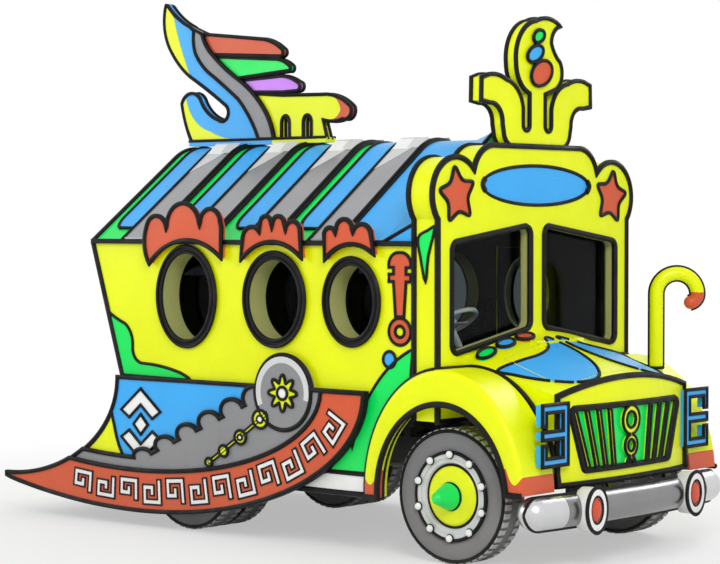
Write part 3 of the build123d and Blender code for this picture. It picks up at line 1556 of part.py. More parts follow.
NODES = {
    "chassis_frame": chassis_frame,
    "leaf_springs": leaf_springs,
    "front_axle": front_axle,
    "rear_axle": rear_axle,
    "knuckle_right": lambda: knuckle(-1),
    "knuckle_left": lambda: knuckle(1),
    "engine_block": engine_block,
    "fuel_tank": fuel_tank,
    "exhaust": exhaust,
    "cabin_floor": cabin_floor,
    "side_panel_right": lambda: side_panel(False),
    "side_panel_left": lambda: side_panel(True),
    "rear_wall": rear_wall,
    "cab_front": cab_front,
    "sign_panel": sign_panel,
    "roof_shell": roof_shell,
    "roof_blue_panels": roof_blue_panels,
    "roof_ribs": roof_ribs,
    "gutters": gutters,
    "window_glass": window_glass,
    "port_rings": port_rings,
    "port_crests": port_crests,
    "skirt_panels": skirt_panels,
    "skirt_blades": skirt_blades,
    "skirt_bands": skirt_bands,
    "tail_apron": tail_apron,
    "nose_shell": nose_shell,
    "bonnet": bonnet,
    "grille_panel": grille_panel,
    "grille_bars": grille_bars,
    "front_fenders": front_fenders,
    "cheek_brackets": cheek_brackets,
    "front_bumper": front_bumper,
    "bumper_lamps": bumper_lamps,
    "marker_lamps": marker_lamps,
    "crook_arm": crook_arm,
    "seat_pads": seat_pads,
    "seat_frames": seat_frames,
    "dashboard": dashboard,
    "steering_wheel": steering,
    "entry_door": entry_door,
    "entry_door_glass": entry_door_glass,
    "rear_hatch": rear_hatch,
    "rear_hatch_glass": rear_hatch_glass,
    "roof_fin": roof_fin,
    "fin_spine": fin_spine,
    "roof_feathers": roof_feathers,
    "ridge_comb": ridge_comb,
    "roof_finial": roof_finial,
    "finial_studs": finial_studs,
    "tyre_front_right": lambda: wheel_tyre(front_axle_x, [-front_track_half], tyre_width),
    "tyre_front_left": lambda: wheel_tyre(front_axle_x, [front_track_half], tyre_width),
    "tyres_rear_right": lambda: wheel_tyre(rear_axle_x, [-y for y in twin_y], twin_width),
    "tyres_rear_left": lambda: wheel_tyre(rear_axle_x, twin_y, twin_width),
    "wheel_front_right": lambda: front_wheel(-1),
    "wheel_front_left": lambda: front_wheel(1),
    "wheels_rear_right": lambda: rear_wheel(-1),
    "wheels_rear_left": lambda: rear_wheel(1),
}

if __name__ == "__main__":
    os.makedirs("parts", exist_ok=True)
    for node, make in NODES.items():
        export_step(make(), f"parts/{node}.step")
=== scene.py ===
import json
import math
from functools import partial

import bmesh
import bpy
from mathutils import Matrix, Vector


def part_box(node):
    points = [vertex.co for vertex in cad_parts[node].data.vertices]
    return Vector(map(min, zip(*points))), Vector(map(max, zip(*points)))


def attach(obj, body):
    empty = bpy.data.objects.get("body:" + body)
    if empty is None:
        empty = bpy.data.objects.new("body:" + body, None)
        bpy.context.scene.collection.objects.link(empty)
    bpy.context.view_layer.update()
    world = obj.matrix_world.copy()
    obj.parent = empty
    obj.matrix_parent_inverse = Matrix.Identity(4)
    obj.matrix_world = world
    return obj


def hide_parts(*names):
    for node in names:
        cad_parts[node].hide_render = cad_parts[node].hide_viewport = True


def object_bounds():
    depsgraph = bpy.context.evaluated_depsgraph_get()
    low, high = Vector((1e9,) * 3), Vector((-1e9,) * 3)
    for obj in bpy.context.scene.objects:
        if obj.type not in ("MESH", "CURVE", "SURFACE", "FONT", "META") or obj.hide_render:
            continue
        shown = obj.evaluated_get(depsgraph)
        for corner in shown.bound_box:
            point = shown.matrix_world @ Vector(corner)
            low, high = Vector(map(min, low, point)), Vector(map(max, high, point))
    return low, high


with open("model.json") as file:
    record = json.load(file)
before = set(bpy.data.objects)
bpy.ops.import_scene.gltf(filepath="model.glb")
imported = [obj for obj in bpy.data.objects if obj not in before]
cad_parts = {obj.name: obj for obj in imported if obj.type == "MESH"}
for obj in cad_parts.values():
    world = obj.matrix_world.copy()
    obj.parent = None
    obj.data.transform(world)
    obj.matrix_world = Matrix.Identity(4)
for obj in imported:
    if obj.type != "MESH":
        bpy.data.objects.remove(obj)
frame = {"nodes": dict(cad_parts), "record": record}
cad_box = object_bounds()

bl_info = {
    "name": "Carnival school bus",
    "version": (1, 0, 0),
    "blender": (4, 5, 0),
    "location": "3D View > Sidebar > Bus",
    "description": "Dresses the packed school bus: enamel, beading, motifs, wheels and seats",
    "category": "Object",
}


def linear(code):
    """An sRGB hex colour as linear RGB."""
    parts = [int(code[n:n + 2], 16) / 255 for n in (0, 2, 4)]
    return tuple(c / 12.92 if c <= 0.04045 else ((c + 0.055) / 1.055) ** 2.4 for c in parts)


def colour(name, code, words):
    return bpy.props.FloatVectorProperty(name=name, description=words, default=linear(code),
                                         subtype="COLOR", min=0.0, max=1.0)


def distance(name, metres, words):
    return bpy.props.FloatProperty(name=name, description=words, default=metres,
                                   subtype="DISTANCE", unit="LENGTH", min=0.0005)


class BusColours(bpy.types.PropertyGroup):
    yellow: colour("Yellow", "F0FA00", "Coachwork enamel of the body")
    green: colour("Green", "00F060", "Enamel of the roof, grille and side bands")
    blue: colour("Blue", "3EB0FA", "Enamel of the roof panels, skirts and petals")
    red: colour("Red", "D85A34", "Enamel of the crests, bands and stars")
    purple: colour("Purple", "D488FA", "Enamel of the lowest feather")
    olive: colour("Olive", "B4B672", "Enamel of the window reveals")
    grey: colour("Grey", "8E8E90", "Enamel of the blades and the fin's spine")
    pale: colour("Pale grey", "D6D6D6", "Enamel highlights on the grey pieces")
    white: colour("White", "F6F6F4", "Enamel of the meander and the motifs")
    black: colour("Black", "060607", "Rubber beading and dark lining")


class BusSizes(bpy.types.PropertyGroup):
    bead: distance("Beading", 0.024, "Radius of the beading round the large panels")
    fine_bead: distance("Fine beading", 0.015, "Radius of the beading round the small pieces")
    plate: distance("Motif plate", 0.004, "Thickness of a motif cut from enamelled sheet")


# Places of the bodywork, in metres
BODY_HALF = 1.22
WAIST_Z = 1.22
CAB_X = 1.79
EAVE_Z = 2.34
PEAK_Z = 3.235
RIDGE_RADIUS = 0.42
AXLE_X, AXLE_Z = 1.87, 0.5
REAR_AXLE_X = -0.88
REAR_WAIST_X, REAR_EAVE_X = -1.55, -1.91
REAR_OUT = Vector((-0.952, 0, -0.306))      # out of the leaning rear wall
FLARE_START, FLARE_END, FLARE, FLARE_FOLDS = -0.3, -2.82, 0.14, 4
SKIRT_PANEL, SKIRT_BLADE, SKIRT_BAND, SKIRT_DISC = 0.030, 0.050, 0.064, 0.060
PORT_X = (-0.86, -0.79, 0.03, 0.175, 0.97)
ARCH_HALF_X, ARCH_HALF_Z = 0.74, 0.93       # the welt over each front wheel
BUMPER_X, BUMPER_Z, BUMPER_HALF, BUMPER_BOW, BUMPER_RIM = 2.68, 0.43, 1.13, 0.08, 0.121
LAMP_Y, LAMP_HALF_Y, LAMP_HALF_Z = 0.66, 0.125, 0.165
CROOK_FOOT = Vector((2.2, 1.04, 0))
NOSE_X, NOSE_RUN = 1.7903, 0.8997           # where the nose's top starts, and how far it runs
NOSE_REAR = (0.9, 1.49, 1.665)              # half width, shoulder and crown of the nose's top
NOSE_FRONT = (0.83, 1.215, 1.345)
DIP_Z, DIP_FRONT, DIP_HANG = 0.545, 0.10, 0.11      # where the fenders' red feet end
RIB_COUNT, RIB_PITCH, RIB_START, RIB_LIFT = 4, 0.69, 0.35, 0.0268
X, Y, Z = Vector((1, 0, 0)), Vector((0, 1, 0)), Vector((0, 0, 1))
SIDES = (("right", -1), ("left", 1))

# Measures of the trim, in metres
BEAD_SIDES = 6              # flats round a bead
POINT_SPACING = 0.006       # the least distance between two points of a bead
MOTIF_BEAD = 0.013
PLATE_SUNK = 0.001          # a plate's back lies this far inside what carries it
SHARP_ANGLE = math.radians(38)


# Materials

DUST, PRIMER = "8C8374", "A09C92"


def add(tree, kind, links=(), **settings):
    """Adds a shader node.

    A setting is a property of the node, or an input: its name, or i and its number. A link is
    an input and the output that feeds it, or a node for the first of its outputs."""
    made = tree.nodes.new("ShaderNode" + kind)
    for key, value in settings.items():
        if hasattr(made, key):
            setattr(made, key, value)
        else:
            made.inputs[int(key[1:]) if key[0] == "i" and key[1:].isdigit()
                        else key.replace("_", " ")].default_value = value
    for socket, source in links:
        tree.links.new(made.inputs[socket], getattr(source, "outputs", (source,))[0])
    return made


def new_material(name):
    made = bpy.data.materials.new(name)
    made.use_nodes = True
    made.node_tree.nodes.clear()
    return made, made.node_tree, add(made.node_tree, "TexCoord").outputs["Object"]


def shade_of(rgb, factor=1.0):
    return tuple(min(1.0, c * factor) for c in rgb) + (1.0,)


def toned(tree, base, amount, scale, where):
    """The base colour, a little lighter and darker in soft patches."""
    patches = add(tree, "TexNoise", [("Vector", where)], Scale=scale, Detail=4.0, Roughness=0.6)
    tone = add(tree, "ValToRGB", [("Fac", patches)])
    for element, place, factor in zip(tone.color_ramp.elements, (0.3, 0.7),
                                      (1 - amount, 1 + amount)):
        element.position = place
        element.color = shade_of(base, factor)
    return tone


def dusted(tree, base, where, top, share):
    """Road dust that thins out from the sill up to a height, broken up by noise."""
    parts = add(tree, "SeparateXYZ", [("Vector", where)])
    low = add(tree, "MapRange", [("Value", parts.outputs["Z"])], clamp=True, From_Min=0.1,
              From_Max=top, To_Min=share, To_Max=0.0)
    specks = add(tree, "TexNoise", [("Vector", where)], Scale=26.0, Detail=6.0, Roughness=0.7)
    amount = add(tree, "Math", [(0, low), (1, specks)], operation="MULTIPLY")
    return add(tree, "Mix", [(0, amount), (6, base)], data_type="RGBA",
               i7=shade_of(linear(DUST))).outputs[2]


def uneven(tree, where, low, high, scale):
    """A roughness that wanders between two values, as wiped and unwiped paint does."""
    patches = add(tree, "TexNoise", [("Vector", where)], Scale=scale, Detail=5.0)
    return add(tree, "MapRange", [("Value", patches)], From_Min=0.3, From_Max=0.7, To_Min=low,
               To_Max=high)


def worn(tree, base, where):
    """Paint rubbed through along the edges, in patches, to the primer under it."""
    soft = add(tree, "Bevel", samples=4, Radius=0.009)
    hard = add(tree, "NewGeometry").outputs["Normal"]
    meet = add(tree, "VectorMath", [(0, soft), (1, hard)], operation="DOT_PRODUCT")
    edge = add(tree, "MapRange", [("Value", meet.outputs["Value"])], From_Min=0.97,
               From_Max=0.80, To_Min=0.0, To_Max=1.0)
    chips = add(tree, "TexNoise", [("Vector", where)], Scale=38.0, Detail=5.0, Roughness=0.7)
    chipped = add(tree, "MapRange", [("Value", chips)], From_Min=0.50, From_Max=0.62,
                  To_Min=0.0, To_Max=0.8)
    amount = add(tree, "Math", [(0, edge), (1, chipped)], operation="MULTIPLY")
    return add(tree, "Mix", [(0, amount), (6, base)], data_type="RGBA",
               i7=shade_of(linear(PRIMER))).outputs[2]


def foot_dip(tree, base, where, rgb):
    """A second colour on the feet of a fender, whose edge hangs down in its middle."""
    parts = add(tree, "SeparateXYZ", [("Vector", where)])
    along = add(tree, "Math", [(0, parts.outputs["X"])], operation="SUBTRACT", i1=AXLE_X)
    off = add(tree, "Math", [(0, along)], operation="ABSOLUTE")
    off = add(tree, "Math", [(0, off)], operation="SUBTRACT", i1=0.67)
    hang = add(tree, "Math", [(0, off), (1, off)], operation="MULTIPLY")
    hang = add(tree, "Math", [(0, hang)], operation="MULTIPLY", i1=20.0)
    hang = add(tree, "Math", [(0, hang)], operation="MINIMUM", i1=DIP_HANG)
    front = add(tree, "Math", [(0, along)], operation="GREATER_THAN", i1=0.0)
    limit = add(tree, "Math", [(0, front), (2, hang)], operation="MULTIPLY_ADD",
                i1=DIP_FRONT)
    limit = add(tree, "Math", [(0, limit)], operation="ADD", i1=DIP_Z)
    low = add(tree, "Math", [(0, parts.outputs["Z"]), (1, limit)], operation="LESS_THAN")
    return add(tree, "Mix", [(0, low), (6, base)], data_type="RGBA",
               i7=shade_of(rgb)).outputs[2]


def enamel(name, rgb, dip=None, chips=True):
    """Coachwork enamel sprayed over steel: glossy, with orange peel and a film of road dust.

    The peel's waves are 3 mm apart on a real panel, too fine here, so they are drawn at 14 mm.
    The low specular level is that of old enamel, gone a little flat."""
    made, tree, where = new_material(name)
    base = toned(tree, rgb, 0.05, 1.7, where)
    if dip:
        base = foot_dip(tree, base, where, dip)
    base = dusted(tree, base, where, 1.1, 0.20)
    if chips:
        base = worn(tree, base, where)
    peel = add(tree, "TexNoise", [("Vector", where)], Scale=72.0, Detail=2.0)
    bump = add(tree, "Bump", [("Height", peel)], Strength=0.06, Distance=0.002)
    shader = add(tree, "BsdfPrincipled", [
        ("Base Color", base), ("Roughness", uneven(tree, where, 0.24, 0.38, 3.0)),
        ("Normal", bump)], IOR=1.5, Specular_IOR_Level=0.28)
    add(tree, "OutputMaterial", [("Surface", shader)])
    return made


def plain_material(name, rgb, roughness, metallic=0.0, tone=0.08, scale=4.0, bump_scale=60.0,
                   bump=0.1, depth=0.002, ior=1.5, grime=0.0, specular=0.5):
    """A base for rubber, iron, steel, vinyl and boards: tone, uneven gloss and a bump."""
    made, tree, where = new_material(name)
    base = toned(tree, rgb, tone, scale, where)
    if grime:
        base = dusted(tree, base, where, 1.0, grime)
    gloss = uneven(tree, where, roughness * 0.8, min(1.0, roughness * 1.2), scale * 2)
    grain = add(tree, "TexNoise", [("Vector", where)], Scale=bump_scale, Detail=6.0,
                Roughness=0.65)
    relief = add(tree, "Bump", [("Height", grain)], Strength=bump, Distance=depth)
    shader = add(tree, "BsdfPrincipled", [("Base Color", base), ("Roughness", gloss),
                                          ("Normal", relief)],
                 Metallic=metallic, IOR=ior, Specular_IOR_Level=specular)
    add(tree, "OutputMaterial", [("Surface", shader)])
    return made


def window_glass(name, rgb):
    """Safety glass with a body tint, and water marks on its face."""
    made, tree, where = new_material(name)
    shader = add(tree, "BsdfPrincipled", [("Roughness", uneven(tree, where, 0.0, 0.03, 9.0))],
                 Base_Color=shade_of(rgb), Transmission_Weight=1.0, IOR=1.1)
    add(tree, "OutputMaterial", [("Surface", shader)])
    return made


MATS = {}
SLOTS = {"pale_glint": "grey_paint", "white_glint": "grey_paint"}   # else NAME_paint
PLAIN = (       # key, name, colour, roughness, and what differs from a plain satin piece
    # Extruded rubber beading: near black, satin, dusty in its grain, chalked so it hardly mirrors
    ("bead", "beading_rubber_extruded", "black", 0.6,
     dict(tone=0.3, bump_scale=140.0, bump=0.12, depth=0.001, specular=0.25)),
    # Near-black finish on the inner faces of the body, painted shade: the cabin behind the glass
    # reads dark
    ("lining", "lining_cloth_glued", "101012", 0.9,
     dict(tone=0.3, bump_scale=400.0, bump=0.3, depth=0.001)),
    # Tyre rubber, moulded: grey with age and road dust, darker in the grooves, pale where worn
    ("tyre", "tyre_rubber_moulded", "77777A", 0.75,
     dict(tone=0.12, bump_scale=90.0, bump=0.25, grime=0.5)),
    ("groove", "tyre_groove_moulded", "6E6E70", 0.9,
     dict(tone=0.15, bump_scale=120.0, bump=0.3, grime=0.4)),
    ("tread", "tyre_tread_worn", "B4B4B6", 0.85,
     dict(tone=0.12, bump_scale=120.0, bump=0.4, depth=0.003, grime=0.4)),
    # Chassis paint over rolled steel, with dust baked on
    ("chassis", "chassis_paint_brushed", "26282A", 0.55,
     dict(tone=0.25, bump_scale=45.0, bump=0.2, grime=0.9)),
    # Sand-cast iron: dark, dull and pitted at 2 mm
    ("iron", "iron_sand_cast", "4A4644", 0.62,
     dict(metallic=0.55, tone=0.3, bump_scale=160.0, bump=0.5, depth=0.003, grime=0.6)),
    # Mild steel tube, blued by heat and rusting
    ("steel", "steel_tube_drawn", "8A8580", 0.4,
     dict(metallic=0.9, tone=0.35, scale=9.0, bump_scale=80.0, bump=0.2, grime=0.3)),
    # Polished sheet for the roof ribs: soft grey gloss
    ("rib", "rib_sheet_polished", "9C9C9E", 0.2,
     dict(metallic=0.35, tone=0.05, bump_scale=30.0, bump=0.04)),
    # Chromed steel of the bumper: mirrors, with a faint ripple; a lighter copy at its ends is a
    # painted highlight
    ("chrome", "bumper_steel_chromed", "8A8A8C", 0.24,
     dict(metallic=0.9, tone=0.05, bump_scale=25.0, bump=0.03, grime=0.2)),
    ("bright", "bumper_end_polished", "D2D2D4", 0.24,
     dict(metallic=0.9, tone=0.05, bump_scale=25.0, bump=0.03, grime=0.1)),
    # Pressed acrylic, red all through, with a polished dome
    ("lens", "lens_acrylic_pressed", "D4421E", 0.12,
     dict(tone=0.05, bump_scale=300.0, bump=0.05, ior=1.49)),
    # Expanded vinyl over foam, with a leather grain 3 mm across
    ("vinyl", "seat_vinyl_embossed", "5E6B3C", 0.5,
     dict(tone=0.12, bump_scale=240.0, bump=0.35, depth=0.0015)),
    # Moulded ABS with a fine spark-eroded grain
    ("plastic", "dash_abs_moulded", "202226", 0.6,
     dict(tone=0.15, bump_scale=420.0, bump=0.25, depth=0.001)),
    # Ribbed rubber matting: dull, scuffed grey by shoes
    ("matting", "floor_rubber_ribbed", "3A3834", 0.8,
     dict(tone=0.2, bump_scale=70.0, bump=0.3)),
)


def make_materials(tints):
    """Fills the table of finishes from the colours that the user set."""
    rgb = {key: tuple(getattr(tints, key)) for key in BusColours.__annotations__}
    # Gloss enamels: colour that reads from across a fairground, softened by dust at the sill
    for key in ("yellow", "green", "blue", "red", "purple", "olive", "grey", "pale", "white"):
        MATS[key] = enamel(f"{key}_enamel_sprayed", rgb[key])
    for key in ("pale", "white"):       # painted highlights: flat, and made without chipped edges
        MATS[f"{key}_glint"] = enamel(f"{key}_enamel_brushed", rgb[key], chips=False)
    MATS["fender"] = enamel("fender_enamel_dipped", rgb["yellow"], dip=rgb["red"])
    for key, name, code, roughness, more in PLAIN:
        MATS[key] = plain_material(name, rgb[code] if code in rgb else linear(code), roughness,
                                   **more)
    MATS["glass"] = window_glass("window_glass_laminated", linear("C4CCCA"))
    MATS["dark_glass"] = window_glass("window_glass_tinted", linear("50565A"))


# Meshes

def placed(name, data):
    """A new object in the scene."""
    made = bpy.data.objects.new(name, data)
    bpy.context.scene.collection.objects.link(made)
    return made


def mesh_of(name, bm):
    """A mesh with what a bmesh holds, which is freed."""
    mesh = bpy.data.meshes.new(name)
    bm.normal_update()
    bm.to_mesh(mesh)
    bm.free()
    return mesh


def evaluated(holder):
    return holder.evaluated_get(bpy.context.evaluated_depsgraph_get())


def new_piece(name, bm, material, body="bus_body", slot="chassis_black"):
    """A smooth-shaded piece that rides on a body; material is one finish or several."""
    low, high = cad_box
    for vert in bm.verts:
        vert.co = [min(max(c, a), b) for c, a, b in zip(vert.co, low, high)]
    mesh = mesh_of(name, bm)
    for each in (material,) if isinstance(material, str) else material:
        mesh.materials.append(MATS[each])
    piece = placed(name, mesh)
    mesh.shade_smooth()
    mesh.set_sharp_from_angle(angle=SHARP_ANGLE)
    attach(piece, body)
    return piece


def turns(count):
    """Even angles round a full turn."""
    return [2 * math.pi * n / count for n in range(count)]


def circle(middle, a, b, count):
    """Places round a circle or an oval, from its middle and its two half axes."""
    return [middle + a * math.cos(t) + b * math.sin(t) for t in turns(count)]


def skin(bm, rings, tip=None):
    """A closed skin over rings of places; a tip closes the last ring with a fan."""
    rings = [[bm.verts.new(place) for place in ring] for ring in rings]
    count = len(rings[0])
    faces = [bm.faces.new(rings[0])]
    for a, b in zip(rings, rings[1:]):
        faces += [bm.faces.new((a[k - 1], a[k], b[k], b[k - 1])) for k in range(count)]
    if tip is None:
        faces.append(bm.faces.new(rings[-1]))
    else:
        top = bm.verts.new(tip)
        faces += [bm.faces.new((rings[-1][k - 1], rings[-1][k], top)) for k in range(count)]
    bmesh.ops.recalc_face_normals(bm, faces=faces)


def bead_along(bm, points, radius, closed):
    """A round bead with mitred corners along a line of points."""
    count = len(points)
    if count < 2:
        return
    rings = []
    across = None
    for n, here in enumerate(points):
        before = points[n - 1] if n or closed else None
        after = points[(n + 1) % count] if n < count - 1 or closed else None
        come = (here - before).normalized() if before is not None else None
        go = (after - here).normalized() if after is not None else come
        come = go if come is None else come
        along = come + go
        along = along.normalized() if along.length > 1e-6 else go
        if across is None:
            across = along.orthogonal().normalized()
        across = across - along * across.dot(along)
        across = across.normalized() if across.length > 1e-6 else along.orthogonal().normalized()
        other = along.cross(across)
        axis = come.cross(go)
        stretch, bend = 1.0, None
        if axis.length > 1e-4:
            bend = along.cross(axis.normalized())
            stretch = min(1.6, 1 / max(0.3, along.dot(go)))
        ring = []
        for k in range(BEAD_SIDES):
            angle = 2 * math.pi * k / BEAD_SIDES
            arm = across * (radius * math.cos(angle)) + other * (radius * math.sin(angle))
            if bend is not None:
                arm += bend * (arm.dot(bend) * (stretch - 1))
            ring.append(bm.verts.new(here + arm))
        rings.append(ring)
    last = count if closed else count - 1
    for n in range(last):
        a, b = rings[n], rings[(n + 1) % count]
        turn = 0
        if n == count - 1:
            turn = min(range(BEAD_SIDES), key=lambda t: sum(
                (a[k].co - b[(k + t) % BEAD_SIDES].co).length for k in range(BEAD_SIDES)))
        for k in range(BEAD_SIDES):
            m = (k + 1) % BEAD_SIDES
            bm.faces.new((a[k], a[m], b[(m + turn) % BEAD_SIDES], b[(k + turn) % BEAD_SIDES]))
    if not closed:
        bm.faces.new(list(reversed(rings[0])))
        bm.faces.new(rings[-1])


def node_lines(node, keep, angle):
    """Chains of the hard edges of a node whose middle and two face normals pass a test."""
    bm = bmesh.new()
    bm.from_mesh(frame["nodes"][node].data)
    bmesh.ops.remove_doubles(bm, verts=bm.verts, dist=2e-5)
    chosen = set()
    for edge in bm.edges:
        if len(edge.link_faces) != 2 or edge.calc_face_angle(0.0) < angle:
            continue
        middle = (edge.verts[0].co + edge.verts[1].co) / 2
        if keep(middle, edge.link_faces[0].normal, edge.link_faces[1].normal):
            chosen.add(edge)
    bm.verts.index_update()
    at = {}
    for edge in chosen:
        for vert in edge.verts:
            at.setdefault(vert, []).append(edge)
    left = set(chosen)
    chains = []
    starts = sorted((v for v in at if len(at[v]) != 2), key=lambda v: v.index)
    starts += sorted((v for v in at if len(at[v]) == 2), key=lambda v: v.index)
    for start in starts:
        while True:
            nexts = [e for e in at[start] if e in left]
            if not nexts:
                break
            edge = min(nexts, key=lambda e: e.other_vert(start).index)
            vert, points = start, [start.co.copy()]
            while edge is not None:
                left.discard(edge)
                vert = edge.other_vert(vert)
                points.append(vert.co.copy())
                onward = [e for e in at[vert] if e in left]
                edge = onward[0] if len(at[vert]) == 2 and onward else None
            chains.append(points)
    bm.free()
    cleaned = []
    for points in chains:
        closed = (points[0] - points[-1]).length < 1e-6 and len(points) > 3
        if closed:
            points.pop()
        kept = [points[0]]
        for point in points[1:]:
            if (point - kept[-1]).length > POINT_SPACING:
                kept.append(point)
        if len(kept) > 1:
            cleaned.append((kept, closed))
    return cleaned


def body_of(node):
    for body, members in frame["record"]["behaviour"]["bodies"].items():
        if node in members:
            return body
    return "bus_body"


def beads(name, runs, body="bus_body", slot="chassis_black"):
    """Round beading as one piece; each run is a line of places, its radius and if it closes."""
    bm = bmesh.new()
    for points, radius, closed in runs:
        bead_along(bm, points, radius, closed)
    new_piece(name, bm, "bead", body, slot)


def beading(node, keep, radius, name=None, angle=0.55):
    """Rubber beading along the chosen hard edges of a node."""
    runs = [(points, radius, closed) for points, closed in node_lines(node, keep, angle)]
    if runs:
        beads(name or f"beading_{node}", runs, body_of(node))


def rim(way, least=0.8, near=lambda middle, up: True):
    """A test for edges where a face that looks one way meets one that doesn't.

    The way is an axis after + or -, | for both of them, or o for out from the bus's middle.
    near tests the edge's middle, and how much the more upright of the two normals points up."""
    sign, axis = way[0], "xyz".index(way[1])

    def test(middle, *normals):
        factor = {"-": -1, "o": 1 if middle.y > 0 else -1}.get(sign, 1)
        looks = [(abs(n[axis]) if sign == "|" else factor * n[axis]) > least for n in normals]
        return looks[0] != looks[1] and near(middle, max(n.z for n in normals))
    return test


# Surfaces of the bodywork: each turns drawing coordinates into a place

def flare_at(x):
    """How far the flared skirts stand out at a station, along their straight folds."""
    run = FLARE_START - FLARE_END
    radius = (run ** 2 + FLARE ** 2) / (2 * FLARE)

    def curve(at):
        return radius - math.sqrt(radius ** 2 - max(0.0, FLARE_START - at) ** 2)

    if x >= FLARE_START:
        return 0.0
    fold = run / FLARE_FOLDS
    n = min(FLARE_FOLDS - 1, int((FLARE_START - x) / fold))
    x0, x1 = FLARE_START - n * fold, FLARE_START - (n + 1) * fold
    share = (x0 - x) / (x0 - x1)
    return curve(x0) + (curve(x1) - curve(x0)) * share


def side_at(side, lift):
    return lambda x, z: Vector((x, side * (BODY_HALF + lift), z))


def skirt_at(side, lift):
    return lambda x, z: Vector((x, side * (BODY_HALF + flare_at(x) + lift), z))


def fin_at(side, lift):
    """Lift counts from the fin's middle plane."""
    return lambda x, z: Vector((x, side * lift, z))


def front_at(lift):
    return lambda y, z: Vector((CAB_X + lift, y, z))


def rear_wall_at(lift):
    """A place on the leaning rear wall, from across and height."""
    lean = (REAR_WAIST_X - REAR_EAVE_X) / (EAVE_Z - WAIST_Z)
    size = math.hypot(1, lean)

    def place(y, z):
        if z < EAVE_Z:
            return Vector((REAR_WAIST_X - (z - WAIST_Z) * lean - lift / size, y,
                           z - lift * lean / size))
        return Vector((REAR_EAVE_X - lift, y, z))
    return place


def arc_height(y, half, shoulder, crown):
    rise = crown - shoulder
    radius = (half ** 2 + rise ** 2) / (2 * rise)
    return crown - radius + math.sqrt(max(0.0, radius ** 2 - y * y))


def nose_top_at(lift):
    def place(x, y):
        share = (x - NOSE_X) / NOSE_RUN
        k = y / (NOSE_REAR[0] + (NOSE_FRONT[0] - NOSE_REAR[0]) * share)
        rear, front = (arc_height(half * k, half, shoulder, crown)
                       for half, shoulder, crown in (NOSE_REAR, NOSE_FRONT))
        return Vector((x, y, rear + (front - rear) * share + lift))
    return place


def roof_at(side, lift):
    """run is the distance up the slope from the eave and on over the rounded ridge."""
    slope = math.atan2(PEAK_Z - EAVE_Z, BODY_HALF)
    turn_at = BODY_HALF / math.cos(slope) - RIDGE_RADIUS * math.tan(slope / 2)
    centre = PEAK_Z - RIDGE_RADIUS / math.cos(slope)

    def place(x, run):
        if run <= turn_at:
            return Vector((x, side * (BODY_HALF - run * math.cos(slope) + lift * math.sin(slope)),
                           EAVE_Z + run * math.sin(slope) + lift * math.cos(slope)))
        angle = slope - (run - turn_at) / RIDGE_RADIUS
        return Vector((x, side * (RIDGE_RADIUS + lift) * math.sin(angle),
                       centre + (RIDGE_RADIUS + lift) * math.cos(angle)))
    return place


# Flat shapes

def round_points(u, v, half_u, half_v, count=40):
    return [(u + half_u * math.cos(t), v + half_v * math.sin(t)) for t in turns(count)]


def smooth_points(corners, per):
    """A closed line that passes through the corners and rounds between them."""
    made = []
    count = len(corners)
    for n in range(count):
        p0, p1, p2, p3 = (corners[(n + k) % count] for k in (-1, 0, 1, 2))
        for k in range(per):
            t = k / per
            made.append(tuple(
                0.5 * (2 * p1[i] + (p2[i] - p0[i]) * t
                       + (2 * p0[i] - 5 * p1[i] + 4 * p2[i] - p3[i]) * t * t
                       + (3 * p1[i] - p0[i] - 3 * p2[i] + p3[i]) * t ** 3) for i in (0, 1)))
    return made


def rounded(corners):
    """A closed line with its corners rounded off, over 0.3 of each side at both ends."""
    made = []
    share, per = 0.3, 4
    made = []
    count = len(corners)
    for n in range(count):
        a, b, c = (corners[(n + k) % count] for k in (-1, 0, 1))
        start = [b[i] + (a[i] - b[i]) * share for i in (0, 1)]
        end = [b[i] + (c[i] - b[i]) * share for i in (0, 1)]
        for k in range(per + 1):
            t = k / per
            made.append(tuple(start[i] * (1 - t) ** 2 + 2 * b[i] * t * (1 - t) + end[i] * t * t
                              for i in (0, 1)))
    return made


def clipped(loop, axis, limit, above):
    """The part of a closed line on one side of a limit along an axis."""
    made = []
    for n, here in enumerate(loop):
        after = loop[(n + 1) % len(loop)]
        inside = (here[axis] > limit) == above
        if inside:
            made.append(here)
        if inside != ((after[axis] > limit) == above):
            t = (limit - here[axis]) / (after[axis] - here[axis])
            made.append(tuple(here[i] + (after[i] - here[i]) * t for i in (0, 1)))
    return made


def star_points(u, v, radius, inner, tilt):
    """A five-pointed star; inner is the share of its radius at the notches."""
    return [(u + radius * share * math.cos(angle), v + radius * share * math.sin(angle))
            for share, angle in ((inner if n % 2 else 1.0, math.radians(tilt + 36 * n))
                                 for n in range(10))]


def filled(loops):
    """A flat mesh inside closed lines; a line within another one is a hole."""
    curve = bpy.data.curves.new("outline", "CURVE")
    curve.dimensions = "2D"
    curve.fill_mode = "BOTH"
    for loop in loops:
        spline = curve.splines.new("POLY")
        spline.points.add(len(loop) - 1)
        for point, (u, v) in zip(spline.points, loop):
            point.co = (u, v, 0.0, 1.0)
        spline.use_cyclic_u = True
    holder = placed("outline", curve)
    bpy.context.view_layer.update()
    mesh = bpy.data.meshes.new_from_object(evaluated(holder))
    bpy.data.objects.remove(holder)
    bpy.data.curves.remove(curve)
    bm = bmesh.new()
    bm.from_mesh(mesh)
    bpy.data.meshes.remove(mesh)
    bmesh.ops.remove_doubles(bm, verts=bm.verts, dist=1e-5)
    return bm


def cut_fine(bm, step):
    """Cuts a flat mesh into cells no larger than a step, so that it can follow a curve."""
    for axis in (0, 1):
        values = [v.co[axis] for v in bm.verts]
        low, high = min(values), max(values)
        count = int((high - low) / step)
        for n in range(1, count + 1):
            normal = (X, Y)[axis]
            spot = normal * (low + (high - low) * n / (count + 1))
            bmesh.ops.bisect_plane(bm, geom=bm.verts[:] + bm.edges[:] + bm.faces[:],
                                   plane_co=spot, plane_no=normal, dist=1e-6)


